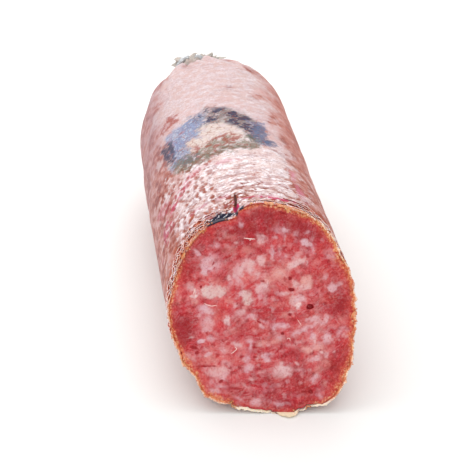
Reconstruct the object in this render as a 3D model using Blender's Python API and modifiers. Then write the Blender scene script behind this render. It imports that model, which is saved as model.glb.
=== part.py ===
"""Cured sausage: the end piece of a dry salami, cut obliquely and lying on its side.

Three sub-parts, in metres, +Z up, standing on z = 0:
  meat    the ground and cured filling, cut by one oblique plane at the front
  casing  the thin dried skin round it, open at the cut and gathered at the far end
  clip    the wire clip that closes the gathered skin

The sausage's length runs along +Y, with the cut facing -Y and tilted back.
Each body starts as a turned shape about its length and is then bent and
pressed into the uneven section of a real sausage that rests on its side.
"""
import math

import bmesh
import bpy
import numpy as np
from mathutils import Vector

# ---- driving dimensions ------------------------------------------------------
RADIUS = 0.0260            # mean outer radius of the sausage
TUBE_LENGTH = 0.1135       # centre of the cut to where the far end starts to round off
DOME_LENGTH = 0.0315       # length of the rounded far end
DOME_FULLNESS = 2.15       # 2 is an ellipse, more is fuller
FRONT_ALLOWANCE = 0.0300   # extra length in front of the cut, taken off by the cut
SKIN = 0.0005              # thickness of the casing
GAP = 0.0003               # clearance between casing and filling
GATHER = 0.0030            # extra depth of folded skin at the gathered end
LIFT = 0.0140              # how far the gathered point sits above the axis
DRIFT = -0.0050            # and to the side of it
TAIL_RISE = math.radians(-9.0)  # upward slope of the neck and the tuft

CUT_TILT = math.radians(28.0)   # how far the cut leans back from upright
CUT_YAW = math.radians(8.4)     # how far the cut turns towards -X

BOW = 0.0034               # sideways bend of the axis at BOW_AT
BOW_AT = 0.1500
FOOT = 0.0006              # how much the underside is pressed flat
SWELL = 0.0055             # slow waviness of the radius along the length
SWELL_PITCH = 0.0720
SWELL_PHASE = 1.1

# uneven section: radius / RADIUS = 1 + sum of amplitude * cos(count * (angle - lean))
SECTION_WAVES = (
    (2, 0.0124, math.radians(45.0)),
    (3, 0.0236, math.radians(60.0)),
    (4, 0.0145, math.radians(41.0)),
)

NECK_RADIUS = 0.0030       # gathered skin inside the clip
NECK_START = 0.0030        # dome tip to the clip's near side
NECK_LENGTH = 0.0042
TAIL_RADIUS = 0.0050       # frayed tuft of skin behind the clip
TAIL_LENGTH = 0.0105
TUFT_WIDE = 1.75           # the tuft is a flat fan
TUFT_FLAT = 0.55
TUFT_LEAN = 0.0045         # and leans to one side
PLEATS = 12                # folds where the skin runs into the neck
PLEAT_DEPTH = 0.13         # fold depth as a share of the local radius

WIRE_RADIUS = 0.0011       # clip wire
CLIP_CLEAR = 0.0004        # clip wire to the neck

SEGMENTS = 48
OFFSET_X = -0.00024        # puts the bounding box's centre on the origin
OFFSET_Y = -0.07418


# ---- shape functions ---------------------------------------------------------
def section_ratio(angle):
    """Radius of the uneven section over the mean radius, at an angle from +X."""
    return 1.0 + sum(a * math.cos(n * (angle - lean)) for n, a, lean in SECTION_WAVES)


def lowest_of_section():
    steps = 720
    return min(
        section_ratio(2 * math.pi * i / steps) * math.sin(2 * math.pi * i / steps)
        for i in range(steps)
    )


AXIS_HEIGHT = -lowest_of_section() * RADIUS - FOOT


def swell(y):
    """Slow waviness along the length, fading out at the gathered end."""
    fade = min(1.0, max(0.0, (TUBE_LENGTH + 0.5 * DOME_LENGTH - y) / (0.5 * DOME_LENGTH)))
    return 1.0 + SWELL * math.sin(2 * math.pi * y / SWELL_PITCH + SWELL_PHASE) * fade


def fullness(y):
    """Radius over full radius at a distance along the length, 0 at the gathered point."""
    u = min(1.0, max(0.0, (y - TUBE_LENGTH) / DOME_LENGTH))
    return (1.0 - u ** DOME_FULLNESS) ** (1.0 / DOME_FULLNESS)


def centre_line(y):
    """Sideways and upward shift of the axis at a distance along the length."""
    tip = TUBE_LENGTH + DOME_LENGTH
    closed = 1.0 - fullness(y)
    past = max(0.0, y - tip)
    tuft = min(1.0, max(0.0, (past - NECK_START - NECK_LENGTH) / TAIL_LENGTH))
    return (
        BOW * (min(y, tip) / BOW_AT) ** 2 + DRIFT * closed + TUFT_LEAN * tuft,
        LIFT * closed + past * math.tan(TAIL_RISE),
    )


def place(radius, angle, y, inset, pleats=False):
    """A point of a turned body, carried into the bent and flattened sausage."""
    tip = TUBE_LENGTH + DOME_LENGTH
    near_neck = min(1.0, max(0.0, (y - TUBE_LENGTH - 0.45 * DOME_LENGTH) / (0.55 * DOME_LENGTH)))
    tuft = min(1.0, max(0.0, (y - tip - NECK_START - NECK_LENGTH) / (TAIL_LENGTH * 0.6)))
    ratio = section_ratio(angle)
    ratio = ratio + (1.0 - ratio) * near_neck
    if pleats:
        depth = PLEAT_DEPTH * near_neck ** 2
        if y > tip + NECK_START - 1e-6:
            depth = 0.05 + 0.20 * tuft
        ratio *= 1.0 + depth * math.cos(PLEATS * angle)
    r = radius * ratio * swell(y)
    aside, up = centre_line(y)
    x = aside + r * math.cos(angle) * (1.0 + (TUFT_WIDE - 1.0) * tuft)
    z = AXIS_HEIGHT + up + r * math.sin(angle) * (1.0 + (TUFT_FLAT - 1.0) * tuft)
    if y > tip:  # the neck's sections lean with its slope
        y -= r * math.sin(angle) * math.sin(TAIL_RISE) * min(1.0, (y - tip) / NECK_START)
    return Vector((x + OFFSET_X, y + OFFSET_Y, max(z, inset)))


def body_profile(inset, dome_inset):
    """(radius, y) points from the front to the tip of the rounded end."""
    radius = RADIUS - inset
    dome = DOME_LENGTH - dome_inset
    points = [(0.0, -FRONT_ALLOWANCE)]
    rows = 14
    for i in range(rows + 1):
        y = -FRONT_ALLOWANCE + (TUBE_LENGTH + FRONT_ALLOWANCE) * i / rows
        points.append((radius, y))
    arc = 11
    for i in range(1, arc):
        t = 0.5 * math.pi * i / arc
        along = math.sin(t)
        round_off = (1.0 - along ** DOME_FULLNESS) ** (1.0 / DOME_FULLNESS)
        points.append((radius * round_off, TUBE_LENGTH + dome * along))
    points.append((0.0, TUBE_LENGTH + dome))
    return points


def casing_profile():
    """The body's outline, drawn out into the neck and the tuft behind the clip."""
    points = [p for p in body_profile(0.0, 0.0)[:-1] if p[0] > NECK_RADIUS * 2.1 or p[1] < 0]
    tip = TUBE_LENGTH + DOME_LENGTH
    points.append((NECK_RADIUS * 1.75, tip + 0.2 * NECK_START))
    points.append((NECK_RADIUS * 1.12, tip + 0.75 * NECK_START))
    points.append((NECK_RADIUS, tip + NECK_START))
    points.append((NECK_RADIUS, tip + NECK_START + NECK_LENGTH))
    flare = 4
    for i in range(1, flare + 1):
        t = i / flare
        r = NECK_RADIUS + (TAIL_RADIUS - NECK_RADIUS) * math.sin(0.5 * math.pi * t)
        points.append((r, tip + NECK_START + NECK_LENGTH + TAIL_LENGTH * (0.15 + 0.75 * t)))
    points.append((TAIL_RADIUS * 0.55, tip + NECK_START + NECK_LENGTH + TAIL_LENGTH))
    points.append((0.0, tip + NECK_START + NECK_LENGTH + TAIL_LENGTH * 0.94))
    return points


# ---- modelling helpers -------------------------------------------------------
def clear_scene():
    for ob in list(bpy.data.objects):
        bpy.data.objects.remove(ob, do_unlink=True)
    for coll in list(bpy.data.collections):
        bpy.data.collections.remove(coll)


def new_collection(name):
    coll = bpy.data.collections.new(name)
    bpy.context.scene.collection.children.link(coll)
    return coll


def material(name, colour, roughness, metallic=0.0):
    mat = bpy.data.materials.new(name)
    mat.use_nodes = True
    bsdf = mat.node_tree.nodes["Principled BSDF"]
    bsdf.inputs["Base Color"].default_value = (*colour, 1.0)
    bsdf.inputs["Roughness"].default_value = roughness
    bsdf.inputs["Metallic"].default_value = metallic
    mat.diffuse_color = (*colour, 1.0)
    return mat


def evaluated_mesh(ob):
    bpy.context.view_layer.update()
    depsgraph = bpy.context.evaluated_depsgraph_get()
    return bpy.data.meshes.new_from_object(ob.evaluated_get(depsgraph))


def turned(name, profile, inset, coll, pleats=False):
    """Turns a (radius, y) profile with a Screw, then carries it into the real shape."""
    outline = bpy.data.meshes.new(name + "_profile")
    bm = bmesh.new()
    verts = [bm.verts.new((r, 0.0, -y)) for r, y in profile]
    for a, b in zip(verts, verts[1:]):
        bm.edges.new((a, b))
    bm.to_mesh(outline)
    bm.free()
    guide = bpy.data.objects.new(name + "_profile", outline)
    bpy.context.scene.collection.objects.link(guide)
    screw = guide.modifiers.new("Turn", "SCREW")
    screw.axis = "Z"
    screw.angle = 2 * math.pi
    screw.steps = SEGMENTS
    screw.render_steps = SEGMENTS
    screw.use_merge_vertices = True
    screw.merge_threshold = 0.00001
    mesh = evaluated_mesh(guide)
    bpy.data.objects.remove(guide, do_unlink=True)

    bm = bmesh.new()
    bm.from_mesh(mesh)
    bmesh.ops.remove_doubles(bm, verts=bm.verts, dist=0.00001)
    for v in bm.verts:
        x, y, h = v.co
        v.co = place(math.hypot(x, y), math.atan2(y, x), -h, inset, pleats)
    bm.to_mesh(mesh)
    bm.free()
    mesh.name = name
    ob = bpy.data.objects.new(name, mesh)
    coll.objects.link(ob)
    return ob


def make_cutter(ob):
    ob.hide_render = True
    ob.display_type = "WIRE"
    return ob


def cut_by(ob, cutter, name):
    boolean = ob.modifiers.new(name, "BOOLEAN")
    boolean.operation = "DIFFERENCE"
    boolean.solver = "EXACT"
    boolean.object = cutter


def smooth(ob, angle=35.0):
    ob.data.shade_smooth()
    ob.data.set_sharp_from_angle(angle=math.radians(angle))


# ---- the sausage -------------------------------------------------------------
def cut_frame():
    """A point on the cut and the cut's outward direction."""
    normal = Vector((
        -math.sin(CUT_YAW) * math.cos(CUT_TILT),
        -math.cos(CUT_YAW) * math.cos(CUT_TILT),
        math.sin(CUT_TILT),
    ))
    return Vector((OFFSET_X, OFFSET_Y, AXIS_HEIGHT + FOOT)), normal


def add_knife(coll):
    """A block whose back face is the plane of the oblique cut."""
    size = 0.16
    point, normal = cut_frame()
    bpy.ops.mesh.primitive_cube_add(size=size)
    knife = bpy.context.active_object
    knife.name = "knife_block"
    for owner in list(knife.users_collection):
        owner.objects.unlink(knife)
    coll.objects.link(knife)
    knife.location = point + normal * (size / 2)
    knife.rotation_mode = "QUATERNION"
    knife.rotation_quaternion = normal.to_track_quat("Z", "Y")
    return make_cutter(knife)


def add_clip(coll):
    """A U of wire bent shut round the neck, its two ends meeting at the top."""
    y = TUBE_LENGTH + DOME_LENGTH + NECK_START + 0.5 * NECK_LENGTH
    ring = NECK_RADIUS * 1.05 + CLIP_CLEAR + WIRE_RADIUS
    curve = bpy.data.curves.new("clip_wire", "CURVE")
    curve.dimensions = "3D"
    curve.bevel_depth = WIRE_RADIUS
    curve.bevel_resolution = 2
    curve.use_fill_caps = True
    count = 22
    spline = curve.splines.new("POLY")
    spline.points.add(count - 1)
    opening = math.radians(34.0)
    for i in range(count):
        angle = 0.5 * math.pi + opening / 2 + (2 * math.pi - opening) * i / (count - 1)
        wide = 1.0 + 0.10 * math.cos(angle) ** 2
        spline.points[i].co = (
            ring * wide * math.cos(angle),
            0.0,
            ring * math.sin(angle),
            1.0,
        )
    guide = bpy.data.objects.new("clip_wire", curve)
    bpy.context.scene.collection.objects.link(guide)
    mesh = evaluated_mesh(guide)
    bpy.data.objects.remove(guide, do_unlink=True)
    bm = bmesh.new()
    bm.from_mesh(mesh)
    bmesh.ops.remove_doubles(bm, verts=bm.verts, dist=0.00001)
    bm.to_mesh(mesh)
    bm.free()
    clip = bpy.data.objects.new("clip", mesh)
    aside, up = centre_line(y)
    clip.location = (aside + OFFSET_X, y + OFFSET_Y, AXIS_HEIGHT + up)
    clip.rotation_euler = (TAIL_RISE, 0.0, 0.0)
    coll.objects.link(clip)
    return clip


def main():
    clear_scene()
    parts = new_collection("cured_sausage")
    cutters = new_collection("cutters")

    root = bpy.data.objects.new("sausage_origin", None)
    parts.objects.link(root)

    knife = add_knife(cutters)

    meat = turned("meat", body_profile(SKIN + GAP, SKIN + GAP + GATHER), SKIN + GAP, parts)
    cut_by(meat, knife, "Oblique cut")
    meat.data.materials.append(material("cured_meat", (0.46, 0.105, 0.105), 0.42))
    smooth(meat)

    casing = turned("casing", casing_profile(), 0.0, parts, pleats=True)
    room = turned("room_for_meat", body_profile(SKIN, SKIN + GATHER), SKIN, cutters)
    for v in room.data.vertices:  # the room reaches past the front end
        if v.co.y < -FRONT_ALLOWANCE + OFFSET_Y + 0.0001:
            v.co.y -= 0.004
    make_cutter(room)
    cut_by(casing, room, "Room for the meat")
    cut_by(casing, knife, "Oblique cut")
    casing.data.materials.append(material("dried_casing", (0.68, 0.42, 0.38), 0.5))
    smooth(casing)

    clip = add_clip(parts)
    clip.data.materials.append(material("clip_aluminium", (0.72, 0.72, 0.73), 0.32, 1.0))
    smooth(clip, 50.0)

    for ob in (meat, casing, clip):
        ob.parent = root


main()
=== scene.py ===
"""Looks of the cured sausage: a dry salami's end piece, cut obliquely, lying on a pale floor.

Pieces, all riding on the one body:
  cut_meat      the filling, with the marbled cut face
  dried_skin    the wrinkled casing with its bloom, its print and the gathered tuft
  skin_lip      the dried, serrated edge of the casing round the cut
  skin_folds    crumpled film along the upper left of the cut
  torn_film     torn film at the upper right of the cut
  rim_crumbs    dried crumbs on the rim
  sinew_threads white fibres lying on the cut face
  crimped_wire  the wire clip

Lengths in the shape functions are metres, as in the CAD source; noise works in millimetres.
"""
import math

import bpy
import numpy as np
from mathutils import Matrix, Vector


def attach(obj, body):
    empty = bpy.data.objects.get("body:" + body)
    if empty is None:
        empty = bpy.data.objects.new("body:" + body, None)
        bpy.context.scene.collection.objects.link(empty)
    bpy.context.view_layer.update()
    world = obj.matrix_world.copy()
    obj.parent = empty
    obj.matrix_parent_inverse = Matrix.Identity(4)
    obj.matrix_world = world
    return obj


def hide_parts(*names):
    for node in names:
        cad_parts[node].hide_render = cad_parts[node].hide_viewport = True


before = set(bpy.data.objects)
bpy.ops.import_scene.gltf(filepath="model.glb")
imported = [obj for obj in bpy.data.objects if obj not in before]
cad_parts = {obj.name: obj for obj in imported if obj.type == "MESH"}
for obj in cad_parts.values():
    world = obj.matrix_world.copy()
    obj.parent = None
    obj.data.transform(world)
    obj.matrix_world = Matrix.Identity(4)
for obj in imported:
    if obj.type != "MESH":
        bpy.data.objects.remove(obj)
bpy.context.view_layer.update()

MM = 0.001

# ---- the CAD source's dimensions ----------------------------------------------
RADIUS = 0.0260
TUBE_LENGTH = 0.1135
DOME_LENGTH = 0.0315
DOME_FULLNESS = 2.15
LIFT = 0.0140
DRIFT = -0.0050
TAIL_RISE = math.radians(-9.0)
CUT_TILT = math.radians(28.0)
CUT_YAW = math.radians(8.4)
BOW = 0.0034
BOW_AT = 0.1500
FOOT = 0.0006
SWELL = 0.0055
SWELL_PITCH = 0.0720
SWELL_PHASE = 1.1
SECTION_WAVES = (
    (2, 0.0124, math.radians(45.0)),
    (3, 0.0236, math.radians(60.0)),
    (4, 0.0145, math.radians(41.0)),
)
NECK_RADIUS = 0.0030
NECK_START = 0.0030
NECK_LENGTH = 0.0042
TAIL_RADIUS = 0.0050
TAIL_LENGTH = 0.0105
TUFT_WIDE = 1.75
TUFT_FLAT = 0.55
TUFT_LEAN = 0.0045
WIRE_RADIUS = 0.0011
CLIP_CLEAR = 0.0004
OFFSET_X = -0.00024
OFFSET_Y = -0.07418
TIP = TUBE_LENGTH + DOME_LENGTH

# ---- sizes of the looks ---------------------------------------------------------
FILM = 0.00038  # thickness of the dried casing where it shows at the cut
FACE_STEPS = 280  # cells across the cut face
# how far the cut's outline stands out, in mm, by angle in degrees
EDGE_SHAPE = (
    (0, -0.10), (3, -0.50), (7, 0.05), (12, -0.10), (18, -0.05), (24, -0.30), (30, -0.95), (34, -0.80), (39, -0.35),
    (50, 0.0), (76, 0.10), (84, 0.42), (89, 0.70), (95, 0.60), (98.2, 0.30), (101.0, -0.15), (102.8, -0.85), (104.6, -1.55), (107.6, -1.80),
    (110.5, -1.60), (113.5, -1.25), (116.5, -0.95), (119.5, -0.75), (123, -0.55), (128.4, -0.60), (133.5, -0.50), (140, -0.60), (150, -0.85), (168, -0.80), (178, -0.20), (186, -0.15), (196, -0.45),
    (202, -0.70), (204.5, -0.40), (208, -0.10), (214, -0.65), (219, -0.65), (222, -0.40), (224.5, 0.40), (229, 1.05),
    (232, 0.60), (236, 0.50), (239, 0.20), (241.5, -0.20), (243.4, -0.60), (244.3, -1.10), (245.6, -0.05), (248, -0.10),
    (251, -0.30), (255, -0.60), (258, -0.50), (263, -0.90), (267, -0.65), (269.5, -0.90), (271, -0.30), (274, -0.20),
    (284, -0.30), (287.5, -0.80), (290, -0.50), (292, -0.80), (293.4, -1.15), (294.6, -0.65), (297, -0.40), (300, 0.0),
    (302, 0.50), (304, 0.70), (306.5, 0.80), (311, 0.80), (320, 0.45), (325, 0.10), (330, 0.35), (336, -0.05),
    (342, -0.30), (351, -0.20), (360, -0.10),
)


# ---- numbers ----------------------------------------------------------------------
def smoothstep(a, b, x):
    t = np.clip((np.asarray(x, float) - a) / (b - a), 0.0, 1.0)
    return t * t * (3 - 2 * t)


def blend(a, b, t):
    return a + (b - a) * t


def hump(x, centre, half, soft=0.35):
    """1 near centre, falling to 0 at half on both sides."""
    return 1.0 - smoothstep(1.0 - soft, 1.0 + soft, np.abs(np.asarray(x, float) - centre) / half)


def turn_gap(a, b):
    """Signed difference of two angles in degrees, in -180..180."""
    return (np.asarray(a, float) - b + 180.0) % 360.0 - 180.0


_source = np.random.RandomState(58)
GRADIENTS = _source.normal(size=(256, 3))
GRADIENTS /= np.linalg.norm(GRADIENTS, axis=1)[:, None]


def scramble(i, j, k, seed):
    n = (i * 73856093) ^ (j * 19349663) ^ (k * 83492791) ^ ((seed * 40503 + 977) * 2654435)
    n = n & 0xFFFFFFFF
    n = ((n ^ (n >> 13)) * 1274126177) & 0xFFFFFFFF
    n = ((n ^ (n >> 15)) * 668265263) & 0xFFFFFFFF
    return n ^ (n >> 16)


def as_3d(p):
    p = np.asarray(p, float)
    if p.shape[1] == 2:
        p = np.column_stack([p, np.full(len(p), 0.37)])
    return p


def perlin(p, seed=0):
    """Gradient noise, about -1..1."""
    p = as_3d(p)
    base = np.floor(p).astype(np.int64)
    f = p - base
    w = f**3 * (f * (f * 6 - 15) + 10)
    total = np.zeros(len(p))
    for corner in range(8):
        d = np.array([(corner >> k) & 1 for k in range(3)])
        c = base + d
        g = GRADIENTS[scramble(c[:, 0], c[:, 1], c[:, 2], seed) & 255]
        share = np.ones(len(p))
        for k in range(3):
            share = share * (w[:, k] if d[k] else 1.0 - w[:, k])
        total += share * np.einsum("ij,ij->i", g, f - d)
    return total * 1.6


def fbm(p, octaves=3, seed=0, gain=0.5):
    p = as_3d(p)
    total, a, norm = np.zeros(len(p)), 1.0, 0.0
    for o in range(octaves):
        total += a * perlin(p * 2.03**o + 11.7 * o, seed + 31 * o)
        norm += a
        a *= gain
    return total / norm


def cells(p, seed=0, flat=False):
    """Cell noise: distance to the nearest and second nearest seed, and three random numbers of the nearest."""
    p = as_3d(p)
    base = np.floor(p).astype(np.int64)
    first = np.full(len(p), 9.0)
    second = np.full(len(p), 9.0)
    label = np.zeros(len(p), np.int64)
    span = (-1, 0, 1)
    for dx in span:
        for dy in span:
            for dz in (0,) if flat else span:
                c = base + np.array([dx, dy, dz])
                h = scramble(c[:, 0], c[:, 1], c[:, 2], seed)
                at = c + np.column_stack([(h & 1023), ((h >> 10) & 1023), ((h >> 20) & 1023)]) / 1023.0
                away = at - p
                if flat:
                    away = away[:, :2]
                d = np.sqrt((away**2).sum(1))
                near = d < first
                second = np.where(near, first, np.minimum(second, d))
                label = np.where(near, h, label)
                first = np.where(near, d, first)
    r = scramble(label & 65535, label >> 16, label & 255, seed + 5)
    return first, second, (r & 1023) / 1023.0, ((r >> 10) & 1023) / 1023.0, ((r >> 20) & 1023) / 1023.0


# ---- the sausage's shape, as in the CAD source ----------------------------------------
def section_ratio(angle):
    return 1.0 + sum(a * np.cos(n * (angle - lean)) for n, a, lean in SECTION_WAVES)


_turn = np.arange(720) * (2 * math.pi / 720)
AXIS_HEIGHT = -float((section_ratio(_turn) * np.sin(_turn)).min()) * RADIUS - FOOT
CENTRE = np.array([OFFSET_X, OFFSET_Y, AXIS_HEIGHT + FOOT])
NORMAL = np.array([
    -math.sin(CUT_YAW) * math.cos(CUT_TILT),
    -math.cos(CUT_YAW) * math.cos(CUT_TILT),
    math.sin(CUT_TILT),
])
ACROSS = np.array([math.cos(CUT_YAW), -math.sin(CUT_YAW), 0.0])
UPWARD = np.array([
    math.sin(CUT_YAW) * math.sin(CUT_TILT),
    math.cos(CUT_YAW) * math.sin(CUT_TILT),
    math.cos(CUT_TILT),
])


def swell(y):
    fade = np.clip((TUBE_LENGTH + 0.5 * DOME_LENGTH - y) / (0.5 * DOME_LENGTH), 0.0, 1.0)
    return 1.0 + SWELL * np.sin(2 * math.pi * y / SWELL_PITCH + SWELL_PHASE) * fade


def fullness(y):
    u = np.clip((y - TUBE_LENGTH) / DOME_LENGTH, 0.0, 1.0)
    return (1.0 - u**DOME_FULLNESS) ** (1.0 / DOME_FULLNESS)


def centre_line(y):
    closed = 1.0 - fullness(y)
    past = np.maximum(0.0, y - TIP)
    tuft = np.clip((past - NECK_START - NECK_LENGTH) / TAIL_LENGTH, 0.0, 1.0)
    aside = BOW * (np.minimum(y, TIP) / BOW_AT) ** 2 + DRIFT * closed + TUFT_LEAN * tuft
    return aside, LIFT * closed + past * math.tan(TAIL_RISE)


def place(radius, angle, y, inset=0.0, fold=None):
    """Points of a turned body carried into the bent, uneven sausage; fold multiplies the radius."""
    radius, angle, y = np.broadcast_arrays(
        np.asarray(radius, float), np.asarray(angle, float), np.asarray(y, float)
    )
    near_neck = np.clip((y - TUBE_LENGTH - 0.45 * DOME_LENGTH) / (0.55 * DOME_LENGTH), 0.0, 1.0)
    tuft = np.clip((y - TIP - NECK_START - NECK_LENGTH) / (TAIL_LENGTH * 0.6), 0.0, 1.0)
    ratio = section_ratio(angle)
    ratio = ratio + (1.0 - ratio) * near_neck
    if fold is not None:
        ratio = ratio * fold
    r = radius * ratio * swell(y)
    aside, up = centre_line(y)
    x = aside + r * np.cos(angle) * (1.0 + (TUFT_WIDE - 1.0) * tuft)
    z = AXIS_HEIGHT + up + r * np.sin(angle) * (1.0 + (TUFT_FLAT - 1.0) * tuft)
    lean = r * np.sin(angle) * math.sin(TAIL_RISE) * np.clip((y - TIP) / NECK_START, 0.0, 1.0)
    return np.stack([x + OFFSET_X, y - lean + OFFSET_Y, np.maximum(z, inset)], -1)


def cut_row(radius, angle):
    """Distance along the length at which the surface of that radius meets the cut, for each angle."""
    low = np.full(np.shape(angle), -0.03)
    high = np.full(np.shape(angle), 0.03)
    for _ in range(40):
        mid = 0.5 * (low + high)
        beyond = (place(radius, angle, mid) - CENTRE) @ NORMAL > 0
        low = np.where(beyond, mid, low)
        high = np.where(beyond, high, mid)
    return 0.5 * (low + high)


def edge_wave(angle):
    """Unevenness of the cut's outline, as a share of the radius."""
    angle = np.asarray(angle, float)
    p = np.stack([np.cos(angle).ravel(), np.sin(angle).ravel()], -1) * 26.0
    deg = np.degrees(angle.ravel()) % 360.0
    ragged = np.interp(deg, [0, 45, 75, 105, 125, 170, 200, 240, 262, 285, 300, 340, 360], [1.5, 1.4, 0.9, 0.7, 0.9, 1.0, 1.2, 1.2, 0.7, 0.7, 1.2, 1.5, 1.5])
    wave = 0.10 * perlin(p / 7.0, 3) + ragged * (0.14 * perlin(p / 2.3, 4) + 0.11 * perlin(p / 1.2, 6) + 0.06 * perlin(p / 0.6, 5))
    wave = wave + np.interp(deg, [a for a, _ in EDGE_SHAPE], [w for _, w in EDGE_SHAPE])
    return wave.reshape(angle.shape) / 26.0


# ---- meshes ---------------------------------------------------------------------------
def mesh_piece(name, points, faces, values=None, smooth=True):
    mesh = bpy.data.meshes.new(name)
    mesh.from_pydata(points.tolist(), [], faces)
    mesh.validate()
    for key, data in (values or {}).items():
        data = np.asarray(data, np.float32)
        if data.ndim == 1:
            layer = mesh.attributes.new(key, "FLOAT", "POINT")
            layer.data.foreach_set("value", data)
        else:
            layer = mesh.attributes.new(key, "FLOAT_VECTOR", "POINT")
            layer.data.foreach_set("vector", data.ravel())
    if smooth:
        mesh.shade_smooth()
    mesh.update()
    ob = bpy.data.objects.new(name, mesh)
    bpy.context.scene.collection.objects.link(ob)
    return ob


def ring_faces(rows, count, first=0, flip=False):
    """Quads between consecutive closed rings of count vertices."""
    i = np.arange(count)
    j = (i + 1) % count
    out = []
    for r in range(rows - 1):
        a, b = first + r * count, first + (r + 1) * count
        quad = np.stack([a + i, b + i, b + j, a + j], -1)
        out.append(quad[:, ::-1] if flip else quad)
    return np.concatenate(out).tolist()


def outward(points, faces):
    """The share of a closed mesh's signed volume, to check that faces point outwards."""
    total = 0.0
    for f in faces[:: max(1, len(faces) // 4000)]:
        a, b, c = points[f[0]], points[f[1]], points[f[2]]
        total += float(np.dot(a, np.cross(b, c)))
    return total


# ---- node materials ---------------------------------------------------------------------
def linear(red, green, blue):
    """A colour given as 0..255 on screen, as the renderer's linear values."""
    out = []
    for c in (red, green, blue):
        c /= 255.0
        out.append(c / 12.92 if c <= 0.04045 else ((c + 0.055) / 1.055) ** 2.4)
    return (*out, 1.0)


class Paint:
    """Short names for building a node material."""

    def __init__(self, name):
        self.mat = bpy.data.materials.new(name)
        self.mat.use_nodes = True
        self.tree = self.mat.node_tree
        self.bsdf = self.tree.nodes["Principled BSDF"]
        self.place = self.tree.nodes.new("ShaderNodeTexCoord").outputs["Object"]
        self.mm = self.scaled((1000.0, 1000.0, 1000.0))

    def put(self, value, socket):
        if isinstance(value, bpy.types.NodeSocket):
            self.tree.links.new(value, socket)
        elif value is not None:
            socket.default_value = value

    def scaled(self, scale, vector=None):
        n = self.tree.nodes.new("ShaderNodeVectorMath")
        n.operation = "MULTIPLY"
        self.put(vector or self.place, n.inputs[0])
        n.inputs[1].default_value = scale
        return n.outputs[0]

    def math(self, op, a, b=None, c=None, clamp=False):
        n = self.tree.nodes.new("ShaderNodeMath")
        n.operation = op
        n.use_clamp = clamp
        for socket, value in zip(n.inputs, (a, b, c)):
            self.put(value, socket)
        return n.outputs[0]

    def add(self, a, b):
        return self.math("ADD", a, b)

    def sub(self, a, b):
        return self.math("SUBTRACT", a, b)

    def mul(self, a, b, clamp=False):
        return self.math("MULTIPLY", a, b, clamp=clamp)

    def step(self, value, low, high, to_low=0.0, to_high=1.0):
        n = self.tree.nodes.new("ShaderNodeMapRange")
        n.interpolation_type = "SMOOTHSTEP"
        for key, v in (("Value", value), ("From Min", low), ("From Max", high), ("To Min", to_low), ("To Max", to_high)):
            self.put(v, n.inputs[key])
        return n.outputs["Result"]

    def attribute(self, name, vector=False):
        n = self.tree.nodes.new("ShaderNodeAttribute")
        n.attribute_name = name
        return n.outputs["Vector" if vector else "Fac"]

    def split(self, vector):
        n = self.tree.nodes.new("ShaderNodeSeparateXYZ")
        self.put(vector, n.inputs[0])
        return n.outputs[0], n.outputs[1], n.outputs[2]

    def join(self, x, y, z=0.0):
        n = self.tree.nodes.new("ShaderNodeCombineXYZ")
        for socket, value in zip(n.inputs, (x, y, z)):
            self.put(value, socket)
        return n.outputs[0]

    def noise(self, scale, detail=2.0, rough=0.5, vector=None, twist=0.0):
        n = self.tree.nodes.new("ShaderNodeTexNoise")
        self.put(vector or self.mm, n.inputs["Vector"])
        n.inputs["Scale"].default_value = scale
        n.inputs["Detail"].default_value = detail
        n.inputs["Roughness"].default_value = rough
        n.inputs["Distortion"].default_value = twist
        return n.outputs["Fac"]

    def cell(self, scale, vector=None, feature="F1", output="Distance"):
        n = self.tree.nodes.new("ShaderNodeTexVoronoi")
        n.feature = feature
        self.put(vector or self.mm, n.inputs["Vector"])
        n.inputs["Scale"].default_value = scale
        return n.outputs[output]

    def mix(self, share, a, b, mode="MIX"):
        n = self.tree.nodes.new("ShaderNodeMix")
        n.data_type = "RGBA"
        n.blend_type = mode
        self.put(share, n.inputs[0])
        self.put(a, n.inputs[6])
        self.put(b, n.inputs[7])
        return n.outputs[2]

    def ramp(self, value, stops):
        n = self.tree.nodes.new("ShaderNodeValToRGB")
        self.put(value, n.inputs[0])
        ramp = n.color_ramp
        while len(ramp.elements) < len(stops):
            ramp.elements.new(0.5)
        for element, (at, colour) in zip(ramp.elements, stops):
            element.position = at
            element.color = colour
        return n.outputs[0]

    def bump(self, height, strength, distance, normal=None):
        n = self.tree.nodes.new("ShaderNodeBump")
        self.put(height, n.inputs["Height"])
        n.inputs["Strength"].default_value = strength
        n.inputs["Distance"].default_value = distance
        if normal is not None:
            self.put(normal, n.inputs["Normal"])
        return n.outputs[0]

    def finish(self, colour, roughness, normal=None, **fixed):
        self.put(colour, self.bsdf.inputs["Base Color"])
        self.put(roughness, self.bsdf.inputs["Roughness"])
        if normal is not None:
            self.put(normal, self.bsdf.inputs["Normal"])
        for key, value in fixed.items():
            self.bsdf.inputs[key.replace("_", " ")].default_value = value
        return self.mat


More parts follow.
